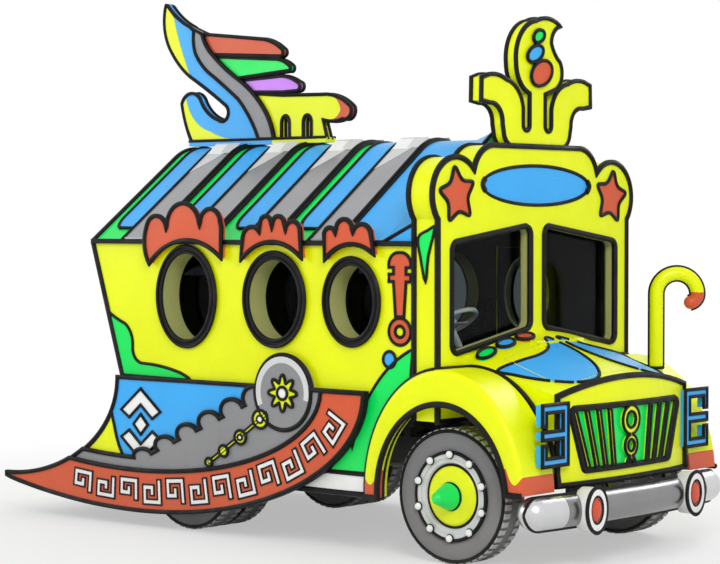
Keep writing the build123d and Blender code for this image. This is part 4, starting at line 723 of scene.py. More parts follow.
def fine_loop(loop, step):
    made = []
    for n, (u, v) in enumerate(loop):
        u1, v1 = loop[(n + 1) % len(loop)]
        parts = max(1, int(math.hypot(u1 - u, v1 - v) / step))
        made += [(u + (u1 - u) * k / parts, v + (v1 - v) * k / parts) for k in range(parts)]
    return made


def plate(name, loops, surface, lift, material, step=None, bead=MOTIF_BEAD, thick=None,
          body="bus_body", slot=None):
    """Enamelled sheet cut to closed lines, laid on a surface whose own face lies at a lift.

    A line within another one is a hole. A step cuts the sheet fine enough to follow a curve.
    bead is the radius of the beading round its face, if any."""
    thick = thick or bpy.context.scene.bus_sizes.plate
    low, high = surface(lift - PLATE_SUNK), surface(lift + thick)
    bm = filled(loops)
    if step:
        cut_fine(bm, step)
    faces = bm.faces[:]
    flat = {v: (v.co.x, v.co.y) for v in bm.verts}
    border = [e for e in bm.edges if len(e.link_faces) == 1]
    tops = {vert: bm.verts.new(high(*spot)) for vert, spot in flat.items()}
    for face in faces:
        bm.faces.new([tops[v] for v in face.verts])
    for edge in border:
        a, b = edge.verts
        bm.faces.new((a, b, tops[b], tops[a]))
    for vert, spot in flat.items():
        vert.co = low(*spot)
    bmesh.ops.recalc_face_normals(bm, faces=bm.faces[:])
    new_piece(name, bm, material, body, slot or SLOTS.get(material, f"{material}_paint"))
    if bead:
        beads(f"{name}_line", [([high(*spot) for spot in fine_loop(loop, step or 1.0)], bead, True)
                               for loop in loops], body)


def paint(node, material, rules):
    """Gives a node its finish; each rule is (test of a face's middle and normal, finish)."""
    piece = frame["nodes"][node]
    piece.data.materials.clear()
    names = [material] + [rule[1] for rule in rules]
    for name in names:
        piece.data.materials.append(MATS[name])
    for face in piece.data.polygons:
        face.material_index = 0
        for n, (test, name) in enumerate(rules):
            if test(face.center, face.normal):
                face.material_index = n + 1
                break
    return piece


class Step(bpy.types.Operator):
    """Base of the steps that dress the bus"""
    bl_options = {"REGISTER", "UNDO"}

    def execute(self, context):
        self.make(context.scene)
        return {"FINISHED"}


def islands(mesh):
    """The loose pieces of a mesh, as lists of vertex numbers."""
    group = list(range(len(mesh.vertices)))

    def root(n):
        while group[n] != n:
            group[n] = group[group[n]]
            n = group[n]
        return n

    spots = {}
    for vert in mesh.vertices:
        key = tuple(round(c, 5) for c in vert.co)
        group[root(vert.index)] = root(spots.setdefault(key, vert.index))
    for edge in mesh.edges:
        group[root(edge.vertices[0])] = root(edge.vertices[1])
    found = {}
    for vert in mesh.vertices:
        found.setdefault(root(vert.index), []).append(vert.index)
    return list(found.values())


def paint_each(node, axis, finishes):
    """Gives each loose piece of a node its own finish, in their order along an axis."""
    mesh = frame["nodes"][node].data
    mesh.materials.clear()
    for name in finishes:
        mesh.materials.append(MATS[name])

    def middle(verts):
        values = [mesh.vertices[n].co[axis] for n in verts]
        return min(values) + max(values)

    owner = {}
    for n, verts in enumerate(sorted(islands(mesh), key=middle)):
        for vert in verts:
            owner[vert] = min(n, len(finishes) - 1)
    for face in mesh.polygons:
        face.material_index = owner[face.vertices[0]]


def radius_from_axle(spot):
    axle = AXLE_X if spot.x > 0.5 else REAR_AXLE_X
    return math.hypot(spot.x - axle, spot.z - AXLE_Z)


class BUS_OT_paintwork(Step, bpy.types.Operator):
    """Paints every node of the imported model"""
    bl_idname = "bus.paintwork"
    bl_label = "Paintwork"

    def make(self, scene):
        # Inner faces take the lining, painted near black as the shade inside the cabin
        def inside(centre, normal):
            side = 1 if centre.y > 0 else -1
            return normal.y * side < -0.3 or abs(centre.y) < 1.17

        def pane_reveal(c, n):
            return (1.69 < c.x < 1.789 and abs(c.y) < 1.07 and 1.49 < c.z < 2.51
                    and (abs(n.x) < 0.5 or c.x < 1.75))

        def inwards(c, n, height, least):
            return abs(n.x) < 0.5 and n.dot(Vector((0, c.y, c.z - height))) < least

        for nodes, finish, *rules in (
                ("side_panel_right side_panel_left", "yellow", (inside, "lining")),
                ("rear_wall", "yellow", (lambda c, n: n.x > 0.2, "lining")),
                ("cab_front", "yellow",
                 (lambda c, n: n.x < -0.3 and c.x > 1.601, "lining"), (pane_reveal, "olive"),
                 (lambda c, n: c.x < 1.735 and inwards(c, n, 2.0, 0.0), "lining")),
                ("roof_shell", "green", (lambda c, n: n.x > 0.5, "blue"),
                 (lambda c, n: inwards(c, n, 1.9, -0.1), "lining")),
                ("sign_panel roof_blue_panels skirt_panels cheek_brackets roof_fin", "blue"),
                ("roof_ribs", "rib"),
                ("gutters", "bead"),
                ("window_glass", "glass", (lambda c, n: c.x < 1.5, "dark_glass")),
                ("port_rings", "olive", (lambda c, n: abs(c.y) > 1.2195, "bead"),
                 (lambda c, n: abs(c.y) < 1.02 and abs(n.y) > 0.5, "lining")),
                ("port_crests skirt_bands", "red"),
                ("skirt_blades fin_spine wheels_rear_right wheels_rear_left", "grey"),
                ("tail_apron", "yellow", (lambda c, n: n.z < -0.2, "chassis")),
                ("nose_shell bonnet grille_bars roof_finial", "yellow"),
                ("grille_panel", "green"),
                ("front_fenders", "fender"),
                # the ends of the bumper take the lighter chrome: a painted highlight
                ("front_bumper", "chrome",
                 (lambda c, n: abs(c.y) > 0.93 and c.z > 0.2, "bright")),
                ("bumper_lamps", "white", (lambda c, n: n.x < 0.5, "red")),
                ("crook_arm", "yellow", (lambda c, n: c.x > 2.36 and c.z < 1.945, "red")),
                ("dashboard", "plastic"),
                ("steering_wheel", "white"),
                ("entry_door", "yellow", (lambda c, n: n.y < -0.5 or c.y < 1.12, "lining"),
                 (lambda c, n: abs(n.y) < 0.5 and abs(c.z - 1.9) < 0.33
                  and abs(c.x - 0.81) < 0.2, "olive")),
                ("entry_door_glass rear_hatch_glass", "dark_glass"),
                ("rear_hatch", "yellow", (lambda c, n: n.x > 0.5, "lining")),
                ("ridge_comb", "yellow",
                 (lambda c, n: abs(n.y) < 0.5 and c.x > -0.33 and c.z > 3.3, "red")),
                ("cabin_floor", "matting", (lambda c, n: n.z < -0.5, "chassis")),
                ("seat_frames chassis_frame leaf_springs fuel_tank", "chassis"),
                ("front_axle rear_axle knuckle_right knuckle_left engine_block", "iron"),
                ("exhaust", "steel"),
                ("tyre_front_right tyre_front_left tyres_rear_right tyres_rear_left", "tyre",
                 (lambda c, n: radius_from_axle(c) > 0.485, "tread")),
                ("wheel_front_right wheel_front_left", "pale",
                 (lambda c, n: radius_from_axle(c) < 0.105 and abs(c.y) > 1.17, "green"),
                 (lambda c, n: radius_from_axle(c) < 0.229 and abs(c.y) > 1.1, "yellow"),
                 (lambda c, n: abs(c.y) < 1.08, "grey"))):
            for node in nodes.split():
                paint(node, finish, rules)
        paint_each("marker_lamps", 1, ("green", "blue", "red"))
        paint_each("roof_feathers", 2, ("purple", "green", "red"))
        paint_each("finial_studs", 2, ("red", "blue", "green"))


class BUS_OT_beading(Step, bpy.types.Operator):
    """Lays rubber beading along the edges of the panels"""
    bl_idname = "bus.beading"
    bl_label = "Beading"

    def make(self, scene):
        wide, fine = scene.bus_sizes.bead, scene.bus_sizes.fine_bead

        def clear_of_ports(m, up):
            near_port = 1.47 < m.z < 2.33 and any(abs(m.x - x) < 0.36 for x in PORT_X)
            hidden = m.z < WAIST_Z and m.x < 0.2
            return abs(m.y) > 1.2 and not near_port and not hidden and m.z < 2.33

        def clear_of_sign(m, up):
            return m.x > 1.78 and not (abs(m.z - 2.78) < 0.17 and abs(m.y) < 0.66)

        def blue_panel(m, a, b):
            return max(a.z, b.z) > 0.3 and (abs(a.x) > 0.9 or abs(b.x) > 0.9
                                            or abs(m.z - 2.45) < 0.12)

        def wheel_ring(m, a, b):
            reach = radius_from_axle(m)
            return abs(m.y) > 1.1 and (abs(reach - 0.228) < 0.004 or abs(reach - 0.32) < 0.006)

        foot = rim("|y", 0.9, lambda m, up: abs(m.y) > 0.055 and up > 0.9)
        for nodes, keep, radius, more in (
                ("side_panel_right side_panel_left", rim("oy", 0.8, clear_of_ports), wide, {}),
                ("port_rings", rim("oy", 0.8, lambda m, up: abs(m.y) > 1.23), fine, {}),
                ("port_crests", rim("oy"), wide * 0.85, {}),
                ("skirt_panels skirt_blades skirt_bands", rim("oy", 0.6), wide * 0.83, {}),
                ("cab_front", rim("+x", 0.8, clear_of_sign), wide, {}),
                ("cab_front", rim("-x", 0.8, lambda m, up: m.x < 1.575 and m.z > 1.3), wide,
                 {"name": "beading_cab_back"}),
                ("roof_ribs", rim("|x", 0.9, lambda m, up: up > 0.3), fine, {}),
                ("roof_blue_panels", blue_panel, fine, {}),
                ("roof_shell", rim("-x", 0.9, lambda m, up: m.x < -1.9 and up > 0.2), wide, {}),
                ("roof_fin fin_spine roof_feathers ridge_comb",
                 rim("|y", 0.9, lambda m, up: abs(m.y) < 0.055), fine * 1.15, {}),
                ("roof_fin", foot, fine * 0.8, {"name": "beading_roof_fin_foot"}),
                ("ridge_comb", foot, fine * 0.8, {"name": "beading_ridge_comb_foot"}),
                ("roof_finial", rim("|x", 0.9, lambda m, up: m.z > 3.085), wide * 0.8, {}),
                ("finial_studs cheek_brackets bumper_lamps", rim("+x"), fine, {}),
                ("front_fenders", rim("oy", 0.75, lambda m, up: abs(m.y) > 1.24), wide,
                 {"angle": 0.3}),
                ("nose_shell", rim("+x", 0.8, lambda m, up: m.x > 2.3), wide, {}),
                ("grille_bars", rim("+x", 0.9), fine * 0.8, {}),
                ("marker_lamps", rim("+z", 0.7), fine, {}),
                ("rear_wall", rim("-x"), wide, {}),
                ("rear_hatch", rim("-x"), fine, {}),
                ("entry_door", rim("oy"), fine, {}),
                ("wheel_front_right wheel_front_left", wheel_ring, fine * 0.8,
                 {"angle": 0.3})):
            for node in nodes.split():
                beading(node, keep, radius, **more)
        low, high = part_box("sign_panel")
        sign = round_points(0, (low[2] + high[2]) / 2, high[1] + 0.002,
                            (high[2] - low[2]) / 2 + 0.002, 72)
        beads("beading_sign_panel", [([Vector((high[0], y, z)) for y, z in sign], fine, True)])
        self.fender_welts(wide * 0.85)
        self.crook_lines(fine * 0.9)
        self.bumper_strips(fine * 0.9)

    def fender_welts(self, radius):
        """The welt where each fender meets the cab and the nose."""
        for name, side in SIDES:
            line = [(1.13, 0.45)] + oval_arc(AXLE_X, AXLE_Z, ARCH_HALF_X, ARCH_HALF_Z, 180, 97,
                                             28)
            points = [Vector((x, side * 1.252, z)) for x, z in line]
            points.append(Vector((1.800, side * 1.210, 1.428)))
            points += [Vector((x, side * (0.906 - 0.07 * (x - 1.79) / 0.9), z)) for x, z in
                       oval_arc(AXLE_X, AXLE_Z, ARCH_HALF_X, ARCH_HALF_Z, 95, 6, 28)]
            beads(f"fender_welt_{name}", [(points, radius, False)])

    def crook_lines(self, radius):
        """A fine line along both edges of the crook, and a ring at its foot."""
        turn = math.radians(50.0)
        along = X * math.sin(turn) + Y * math.cos(turn)
        foot_z, bend_z = 1.345, 1.93
        bar, bend, tip = 0.054, 0.162, 0.070        # half the bar's width, radii of its bends
        edge = [(-bar, foot_z + 0.09 * k) for k in range(7)]
        edge += oval_arc(bend, bend_z, bend + bar, bend + bar, 180, 0)
        edge += oval_arc(2 * bend - tip, bend_z, tip + bar, tip + bar, -10, -75, 8)
        edge += oval_arc(2 * bend - tip, bend_z, tip - bar, tip - bar, -75, -10, 4)
        edge += oval_arc(bend, bend_z, bend - bar, bend - bar, 0, 180)
        edge += [(bar, 1.885 - 0.09 * k) for k in range(7)]
        beads("crook_lines", [([CROOK_FOOT + along * u + Z * z for u, z in edge], radius, False),
                              (circle(CROOK_FOOT + Z * foot_z, X * 0.056, Y * 0.056, 32), radius,
                               True)])

    def bumper_strips(self, radius):
        """A rubber strip along the upper and the lower edge of the bumper bar."""
        reach = (BUMPER_BOW ** 2 + BUMPER_HALF ** 2) / (2 * BUMPER_BOW)
        for name, up in (("upper", 1), ("lower", -1)):
            points = []
            for k in range(41):
                y = BUMPER_HALF * (k / 20 - 1)
                x = BUMPER_X - reach + math.sqrt(reach ** 2 - y * y)
                points.append(Vector((x + 0.030, y, BUMPER_Z + up * BUMPER_RIM)))
            for end in (-1, 1):
                cap = [Vector((2.625 - 0.25 * BUMPER_RIM * (1 - math.cos(a)),
                               end * (BUMPER_HALF + BUMPER_RIM * math.sin(a)),
                               BUMPER_Z + up * BUMPER_RIM * math.cos(a)))
                       for a in (math.radians(15 * k) for k in range(1, 7))]
                points = cap[::-1] + points if end < 0 else points + cap
            beads(f"bumper_strip_{name}", [(points, radius, False)])


def through(points, per=8):
    """A line of corners and arcs: a pair of places is an arc's middle and its end."""
    made = [points[0]]
    for step in points[1:]:
        if not isinstance(step[0], tuple):
            made.append(step)
            continue
        (ax, ay), (bx, by), (cx, cy) = made[-1], step[0], step[1]
        d = 2 * (ax * (by - cy) + bx * (cy - ay) + cx * (ay - by))
        ux = ((ax ** 2 + ay ** 2) * (by - cy) + (bx ** 2 + by ** 2) * (cy - ay)
              + (cx ** 2 + cy ** 2) * (ay - by)) / d
        uy = ((ax ** 2 + ay ** 2) * (cx - bx) + (bx ** 2 + by ** 2) * (ax - cx)
              + (cx ** 2 + cy ** 2) * (bx - ax)) / d
        reach = math.hypot(ax - ux, ay - uy)
        start, middle, end = (math.atan2(y - uy, x - ux) for x, y in made[-1:] + list(step))
        turn = (end - start) % (2 * math.pi)
        if (middle - start) % (2 * math.pi) > turn:
            turn -= 2 * math.pi
        made += [(ux + reach * math.cos(start + turn * n / per),
                  uy + reach * math.sin(start + turn * n / per)) for n in range(1, per)]
        made.append((cx, cy))
    return made


def oval_arc(u, v, half_u, half_v, start, end, count=24):
    return [(u + half_u * math.cos(math.radians(start + (end - start) * n / count)),
             v + half_v * math.sin(math.radians(start + (end - start) * n / count)))
            for n in range(count + 1)]


def stroke(points, half):
    """The outline of a line drawn with a square nib, mitred at its corners."""
    left, right = [], []
    for n, (u, v) in enumerate(points):
        before = points[n - 1] if n else None
        after = points[n + 1] if n < len(points) - 1 else None
        ways = []
        for a, b in ((before, (u, v)), ((u, v), after)):
            if a is not None and b is not None:
                length = math.hypot(b[0] - a[0], b[1] - a[1])
                ways.append(((b[0] - a[0]) / length, (b[1] - a[1]) / length))
        if len(ways) == 1:
            nu, nv = -ways[0][1], ways[0][0]
            end = -1 if before is None else 1
            u, v = u + ways[0][0] * half * end * 0.4, v + ways[0][1] * half * end * 0.4
        else:
            nu, nv = -(ways[0][1] + ways[1][1]), ways[0][0] + ways[1][0]
            size = nu ** 2 + nv ** 2
            nu, nv = nu * 2 / size, nv * 2 / size
        left.append((u + nu * half, v + nv * half))
        right.append((u - nu * half, v - nv * half))
    return left + right[::-1]


# Motifs

def cab_motifs():
    """Stars on the shoulder lobes and wedges on the cab's sides."""
    wedge = [(1.610, 2.385), (1.700, 2.440), (1.765, 2.455), (1.705, 2.250), (1.680, 2.060),
             (1.635, 2.230)]
    for name, side in SIDES:
        star = rounded(star_points(side * 0.995, 2.70, 0.225, 0.52, 90 - side * 9))
        plate(f"star_{name}", [star], front_at, 0.0, "red", bead=0.016)
        plate(f"cab_wedge_{name}", [smooth_points(wedge, 3)], partial(side_at, side), 0.0,
              "green", bead=0.012)


def side_motifs():
    """The painted panels of both sides."""
    wave = through([(-1.566, 1.235), (-1.732, 1.760), ((-1.62, 1.700), (-1.520, 1.660)),
                    ((-1.455, 1.590), (-1.430, 1.480)), ((-1.400, 1.380), (-1.310, 1.340)),
                    ((-1.100, 1.325), (-0.930, 1.295)), ((-0.840, 1.270), (-0.760, 1.235))])
    rocker = [(0.345, 0.462), (1.13, 0.462), (1.13, 0.600), (0.72, 0.600), (0.55, 0.560)]
    lance = through([(1.395, 1.800), (1.375, 2.060), (1.330, 2.060), (1.330, 2.115),
                     (1.375, 2.115), (1.375, 2.165), (1.330, 2.165),
                     ((1.345, 2.235), (1.435, 2.275)), ((1.525, 2.235), (1.540, 2.165)),
                     (1.495, 2.165), (1.495, 2.115), (1.540, 2.115), (1.540, 2.060),
                     (1.495, 2.060), (1.475, 1.800)])
    arch = (oval_arc(AXLE_X, AXLE_Z, 0.93, 1.13, 95, 165),
            [(1.14, 0.615)] + oval_arc(AXLE_X, AXLE_Z, 0.735, 0.925, 170, 95))
    for name, side in SIDES:
        # On the left the sweep starts behind the entry door's hinged edge
        start, corner = ((0.60, [(0.96, 0.84), (0.74, 0.615)]) if side < 0
                         else (1.165, [(1.165, 1.13), (1.165, 0.615)]))
        outer, inner = ([p for p in arc if start < p[0] < 1.568] for arc in arch)
        for label, loops, material in (
                ("green_wave", [wave], "green"),
                ("green_sweep", [outer + corner + inner], "green"),
                ("white_rocker", [rocker], "white"),
                ("red_lance", [lance], "red"),
                ("red_ring", [round_points(1.435, 1.690, 0.105, 0.100),
                              round_points(1.435, 1.690, 0.045, 0.042)], "red"),
                ("blue_dot", [round_points(1.335, 1.480, 0.060, 0.060)], "blue")):
            if side < 0 or label != "white_rocker":
                plate(f"{label}_{name}", loops, partial(side_at, side), 0.0, material)


BAND_INSET = 0.165          # from the band's outer edge to its middle line
BAND_X, BAND_HALF_X, BAND_HALF_Z = -1.3, 2.43 - 1.3 * BAND_INSET, 1.08 - BAND_INSET
BAND_FOOT_Z, BAND_REACH = 0.305, 6.175 - BAND_INSET
KEY_UNIT = ((0.00, -1.0), (0.00, 1.0), (1.45, 1.0), (1.45, -0.35), (0.72, -0.35), (0.72, 0.30))
KEY_PITCH, KEY_HALF, KEY_WIDE = 0.262, 0.088, 0.112


def band_line():
    """The middle line of the skirt's red band from its front end: lengths so far and places."""
    line = [(BAND_X + BAND_HALF_X * math.cos(a), WAIST_Z + BAND_HALF_Z * math.sin(a))
            for a in (-math.pi / 2 * n / 180 for n in range(181))]
    line += [(BAND_X - x, BAND_FOOT_Z + BAND_REACH - math.sqrt(BAND_REACH ** 2 - x * x))
             for x in (0.026 * n for n in range(1, 60))]
    lengths = [0.0]
    for a, b in zip(line, line[1:]):
        lengths.append(lengths[-1] + math.dist(a, b))
    return list(zip(lengths, line))


def band_place(line, s):
    """The place and the direction of the band's middle line, s metres along it."""
    for (s0, a), (s1, b) in zip(line, line[1:]):
        if s <= s1:
            break
    way = ((b[0] - a[0]) / (s1 - s0), (b[1] - a[1]) / (s1 - s0))
    return (a[0] + way[0] * (s - s0), a[1] + way[1] * (s - s0)), way


def meander(name, side):
    """A row of interlocking white hooks along the red band."""
    loops = []
    line = band_line()
    for n in range(12):
        high = KEY_HALF * (1 if n % 2 == 0 else -1) * (1.0 if n < 9 else 0.86)
        points = []
        for along, up in KEY_UNIT:
            (x, z), (wx, wz) = band_place(line, 0.21 + n * KEY_PITCH + along * KEY_WIDE)
            points.append((x - wz * up * high, z + wx * up * high))
        loops.append(stroke(points, 0.021))
    plate(f"band_meander_{name}", loops, partial(skirt_at, side), SKIRT_BAND, "white", step=0.09,
          bead=0.0075)


def skirt_motifs():
    """The meander, chevrons and tail corner, and the disc's rosette with its rod of studs."""
    tail = [(-2.82 + 1.285 * math.cos(a), 1.22 - 0.885 * math.sin(a))
            for a in (math.radians(20 + 3.2 * n) for n in range(14))]
    corner = smooth_points(tail[::-1] + [(-1.560, 0.730), (-1.500, 0.600), (-1.400, 0.500),
                                         (-1.290, 0.440), (-1.500, 0.400)], 2)
    gem = [(-1.28, 0.925), (-1.200, 0.8425), (-1.28, 0.760), (-1.360, 0.8425)]
    for name, side in SIDES:
        on = partial(skirt_at, side)
        middle = 0.205 if side > 0 else 0.300       # of the disc
        meander(name, side)
        for n, (z, up) in enumerate(((0.985, 1), (0.700, -1))):
            arrow = [(-1.28, z + up * 0.150), (-1.06, z - up * 0.030), (-1.15, z - up * 0.090),
                     (-1.28, z + up * 0.020), (-1.41, z - up * 0.090), (-1.50, z - up * 0.030)]
            plate(f"chevron_{name}_{n}", [arrow], on, SKIRT_PANEL, "white", step=0.2)
        plate(f"gem_{name}", [gem], on, SKIRT_PANEL, "white", step=0.2)
        plate(f"tail_corner_{name}", [corner], on, SKIRT_PANEL, "yellow", step=0.15)
        # painted highlight: a pale crescent along the upper rim of the disc
        shine = (oval_arc(middle, 1.185, 0.278, 0.278, -12, 205)
                 + oval_arc(middle, 1.185, 0.228, 0.228, 205, -12))
        plate(f"disc_shine_{name}", [shine], on, SKIRT_DISC, "pale_glint", bead=None, thick=0.002)
        petals = [(middle + 0.01 + (0.118 + 0.030 * math.cos(8 * a)) * math.cos(a),
                   1.180 + (0.112 + 0.030 * math.cos(8 * a)) * math.sin(a)) for a in turns(96)]
        plate(f"rosette_{name}", [petals], on, SKIRT_DISC, "yellow", thick=0.006)
        plate(f"rosette_eye_{name}", [round_points(middle + 0.01, 1.180, 0.052, 0.048)], on,
              SKIRT_DISC + 0.006, "white")
        for n, (dx, z, big) in enumerate(((-0.230, 0.965, 0.078), (-0.445, 0.810, 0.060),
                                          (-0.630, 0.690, 0.048), (-0.790, 0.590, 0.036))):
            plate(f"stud_{name}_{n}", [round_points(middle + dx, z, big, big * 0.9)], on,
                  SKIRT_BLADE, "yellow", thick=0.014)
            if n < 2:
                eye = round_points(middle + dx, z, big * 0.42, big * 0.36)
                plate(f"stud_eye_{name}_{n}", [eye], on, SKIRT_BLADE + 0.014, "white", bead=0.009)
        rod = stroke([(middle - 0.165, 1.010), (middle - 0.790, 0.590)], 0.013)
        plate(f"rod_{name}", [rod], on, SKIRT_BLADE, "yellow", step=0.1, bead=0.009, thick=0.007)


def roof_motifs():
    """Painted highlights on the polished ribs: pale and white bands, which bend forwards as they
    go up the slope.
    """
    steps, wide, thick, top = 6, 0.280, 0.0015, 1.570
    for name, side in SIDES:
        for n in range(RIB_COUNT):
            x0 = REAR_EAVE_X + RIB_PITCH * n + RIB_START + 0.030
            for kind, (a, b, c), lift in (("pale", (0.93, 1.10, 1.37), 0.0),
                                          ("white", (1.19, 1.37, 1.52), thick)):
                low = [(x0 + wide * t, a * (1 - t) ** 2 + 2 * b * t * (1 - t) + c * t ** 2)
                       for t in (k / steps for k in range(steps + 1))]
                plate(f"rib_{kind}_{name}_{n}", [low + [(x, top) for x, run in reversed(low)]],
                      partial(roof_at, side), RIB_LIFT + lift, f"{kind}_glint", step=0.025,
                      bead=None, thick=thick)


def fin_motifs():
    """Yellow crescents on both faces of the fin, painted highlights along its edges, and the
    comb's red tip.
    """
    upper = through([(-1.945, 3.775), ((-2.062, 3.872), (-2.162, 3.990)),
                     ((-2.252, 4.200), (-2.236, 4.400)), (-2.150, 4.300),
                     ((-2.095, 4.120), (-1.945, 3.775))])[:-1]
    lower = through([(-1.912, 3.215), ((-1.996, 3.380), (-2.036, 3.535)), (-2.000, 3.580),
                     ((-1.900, 3.395), (-1.700, 3.285)), ((-1.560, 3.235), (-1.360, 3.215))])
    snout = through([(-0.400, 3.553), ((-0.195, 3.530), (-0.102, 3.450)),
                     ((-0.112, 3.385), (-0.178, 3.362)), ((-0.250, 3.350), (-0.330, 3.354)),
                     ((-0.240, 3.375), (-0.200, 3.430)), ((-0.240, 3.510), (-0.400, 3.553))])[:-1]
    for side_name, side in SIDES:
        for name, loop, face, material in (("fin_crescent_upper", upper, 0.035, "yellow"),
                                           ("fin_crescent_lower", lower, 0.035, "yellow"),
                                           ("snout_tip", snout, 0.025, "red")):
            plate(f"{name}_{side_name}", [loop], partial(fin_at, side), face, material,
                  bead=None, thick=0.003)


def rear_trim():
    """Reflectors and rivets of the rear wall."""
    heads = bmesh.new()
    wall = rear_wall_at(0.0)
    for name, side in SIDES:
        for n, (z, half, material) in enumerate(((1.42, 0.075, "red"), (1.62, 0.055, "pale"))):
            plate(f"reflector_{name}_{n}", [round_points(side * 0.93, z, half, half)],
                  rear_wall_at, 0.0, material, bead=0.012, thick=0.012, slot="lamp_lens")
        for y, z, count in ((1.10, 1.29, 16), (0.68, 1.28, 14)):
            for k in range(count):
                rivet(heads, wall(side * y, z + 0.066 * k), REAR_OUT)
    new_piece("rear_rivets", heads, "yellow", slot="yellow_paint")


def rivet(bm, spot, out, radius=0.012):
    """A domed rivet head on a face that looks out."""
    a = out.orthogonal().normalized()
    b = out.cross(a)
    rings = [circle(spot + out * lift, a * (radius * share), b * (radius * share), 10)
             for share, lift in ((1.0, -0.002), (0.94, 0.35 * radius), (0.6, 0.62 * radius))]
    skin(bm, rings, spot + out * (0.7 * radius))


# The bonnet lid's part of the petals: axis, limit, and whether it lies above the limit
PETAL_LID = ((1, -0.690, True), (0, 2.030, True), (0, 2.553, False))
PETAL_SIDE, PETAL_FRONT, PETAL_REAR = -0.703, 2.563, 1.989      # where the fixed parts start


def shared_runs(whole, part):
    """The stretches of a closed line that a part of it keeps."""
    def key(spot):
        return tuple(round(c, 6) for c in spot)

    kept = {key(spot) for spot in part}
    runs, run = [], []
    for spot in whole + whole:
        if key(spot) in kept:
            run.append(spot)
            continue
        if len(run) > 1:
            runs.append(run)
            kept -= {key(each) for each in run}
        run = []
    return runs


def nose_motifs():
    """Blue petals that run over the bonnet lid and on over the nose beside it."""
    whole = fine_loop(smooth_points([
        (2.070, -0.870), (2.105, -0.640), (2.130, -0.440), (2.080, -0.250), (1.930, -0.075),
        (2.060, -0.040), (2.240, -0.060), (2.420, -0.140), (2.560, -0.270), (2.610, -0.420),
        (2.560, -0.570), (2.460, -0.680), (2.330, -0.770), (2.190, -0.835)], 5), 0.008)
    lid = whole
    for axis, limit, above in PETAL_LID:
        lid = clipped(lid, axis, limit, above)
    rest = clipped(whole, 1, PETAL_SIDE, True)
    for name, side in SIDES:
        for label, part, body in (
                ("petal", lid, "bonnet"),
                ("petal_side", clipped(whole, 1, PETAL_SIDE, False), "bus_body"),
                ("petal_front", clipped(rest, 0, PETAL_FRONT, True), "bus_body"),
                ("petal_rear", clipped(rest, 0, PETAL_REAR, False), "bus_body")):
            plate(f"{label}_{name}", [[(x, -side * y) for x, y in part]], nose_top_at, 0.0,
                  "blue", step=0.08, bead=None, body=body)
            face = nose_top_at(bpy.context.scene.bus_sizes.plate)
            beads(f"{label}_{name}_line",
                  [([face(x, -side * y) for x, y in run], 0.014, False)
                   for run in shared_runs(whole, part)], body)


class BUS_OT_motifs(Step, bpy.types.Operator):
    """Cuts and lays the enamelled motifs"""
    bl_idname = "bus.motifs"
    bl_label = "Motifs"

    def make(self, scene):
        for motifs in (cab_motifs, side_motifs, skirt_motifs, roof_motifs, fin_motifs,
                       nose_motifs, rear_trim):
            motifs()


class BUS_OT_lamps(Step, bpy.types.Operator):
    """Builds the two bumper lamps, with white bezels and domed red lenses"""
    bl_idname = "bus.lamps"
    bl_label = "Bumper lamps"

    def make(self, scene):
        for name, side in SIDES:
            def oval(x, share, inset=0.0, count=48):
                return circle(Vector((x, side * LAMP_Y, BUMPER_Z)),
                              Y * (share * (LAMP_HALF_Y - inset)),
                              Z * (share * (LAMP_HALF_Z - inset)), count)

            shell, lens = bmesh.new(), bmesh.new()
            skin(shell, [oval(*ring) for ring in (
                (2.652, 0.80), (2.690, 0.98), (2.790, 1.0), (2.812, 0.985), (2.819, 0.93),
                (2.819, 0.66), (2.806, 0.60), (2.800, 0.46))])
            piece = new_piece(f"bumper_lamp_{name}", shell, "white", slot="lamp_lens")
            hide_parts("bumper_lamps")
            skin(lens, [oval(x, share, 0.007, 40) for x, share in (
                (2.799, 0.60), (2.808, 0.55), (2.815, 0.40), (2.818, 0.2))])
            new_piece(f"lamp_lens_{name}", lens, "lens", slot="lamp_lens")
            beads(f"lamp_rims_{name}", [(oval(2.806, 0.985), 0.011, True),
                                        (oval(2.812, 0.60), 0.008, True)])


TYRE_PROFILE = (    # offset from the middle over the half width, radius in metres
    (0.66, 0.3216), (0.90, 0.335), (0.985, 0.368), (1.0, 0.410), (0.97, 0.452), (0.90, 0.480),
)
TREAD_BARS = 48
TREAD_EDGES = (0.86, 0.36, 0.30, -0.30, -0.36, -0.86)       # two grooves, one part in three deep
TREAD_TOP, TREAD_FOOT = 0.4995, 0.4895
TYRE_RIBS = ((0.915, 0.4760, 0.014), (0.80, 0.3285, 0.010))  # offset, radius, bead
BOLTS, BOLT_CIRCLE = 10, 0.308


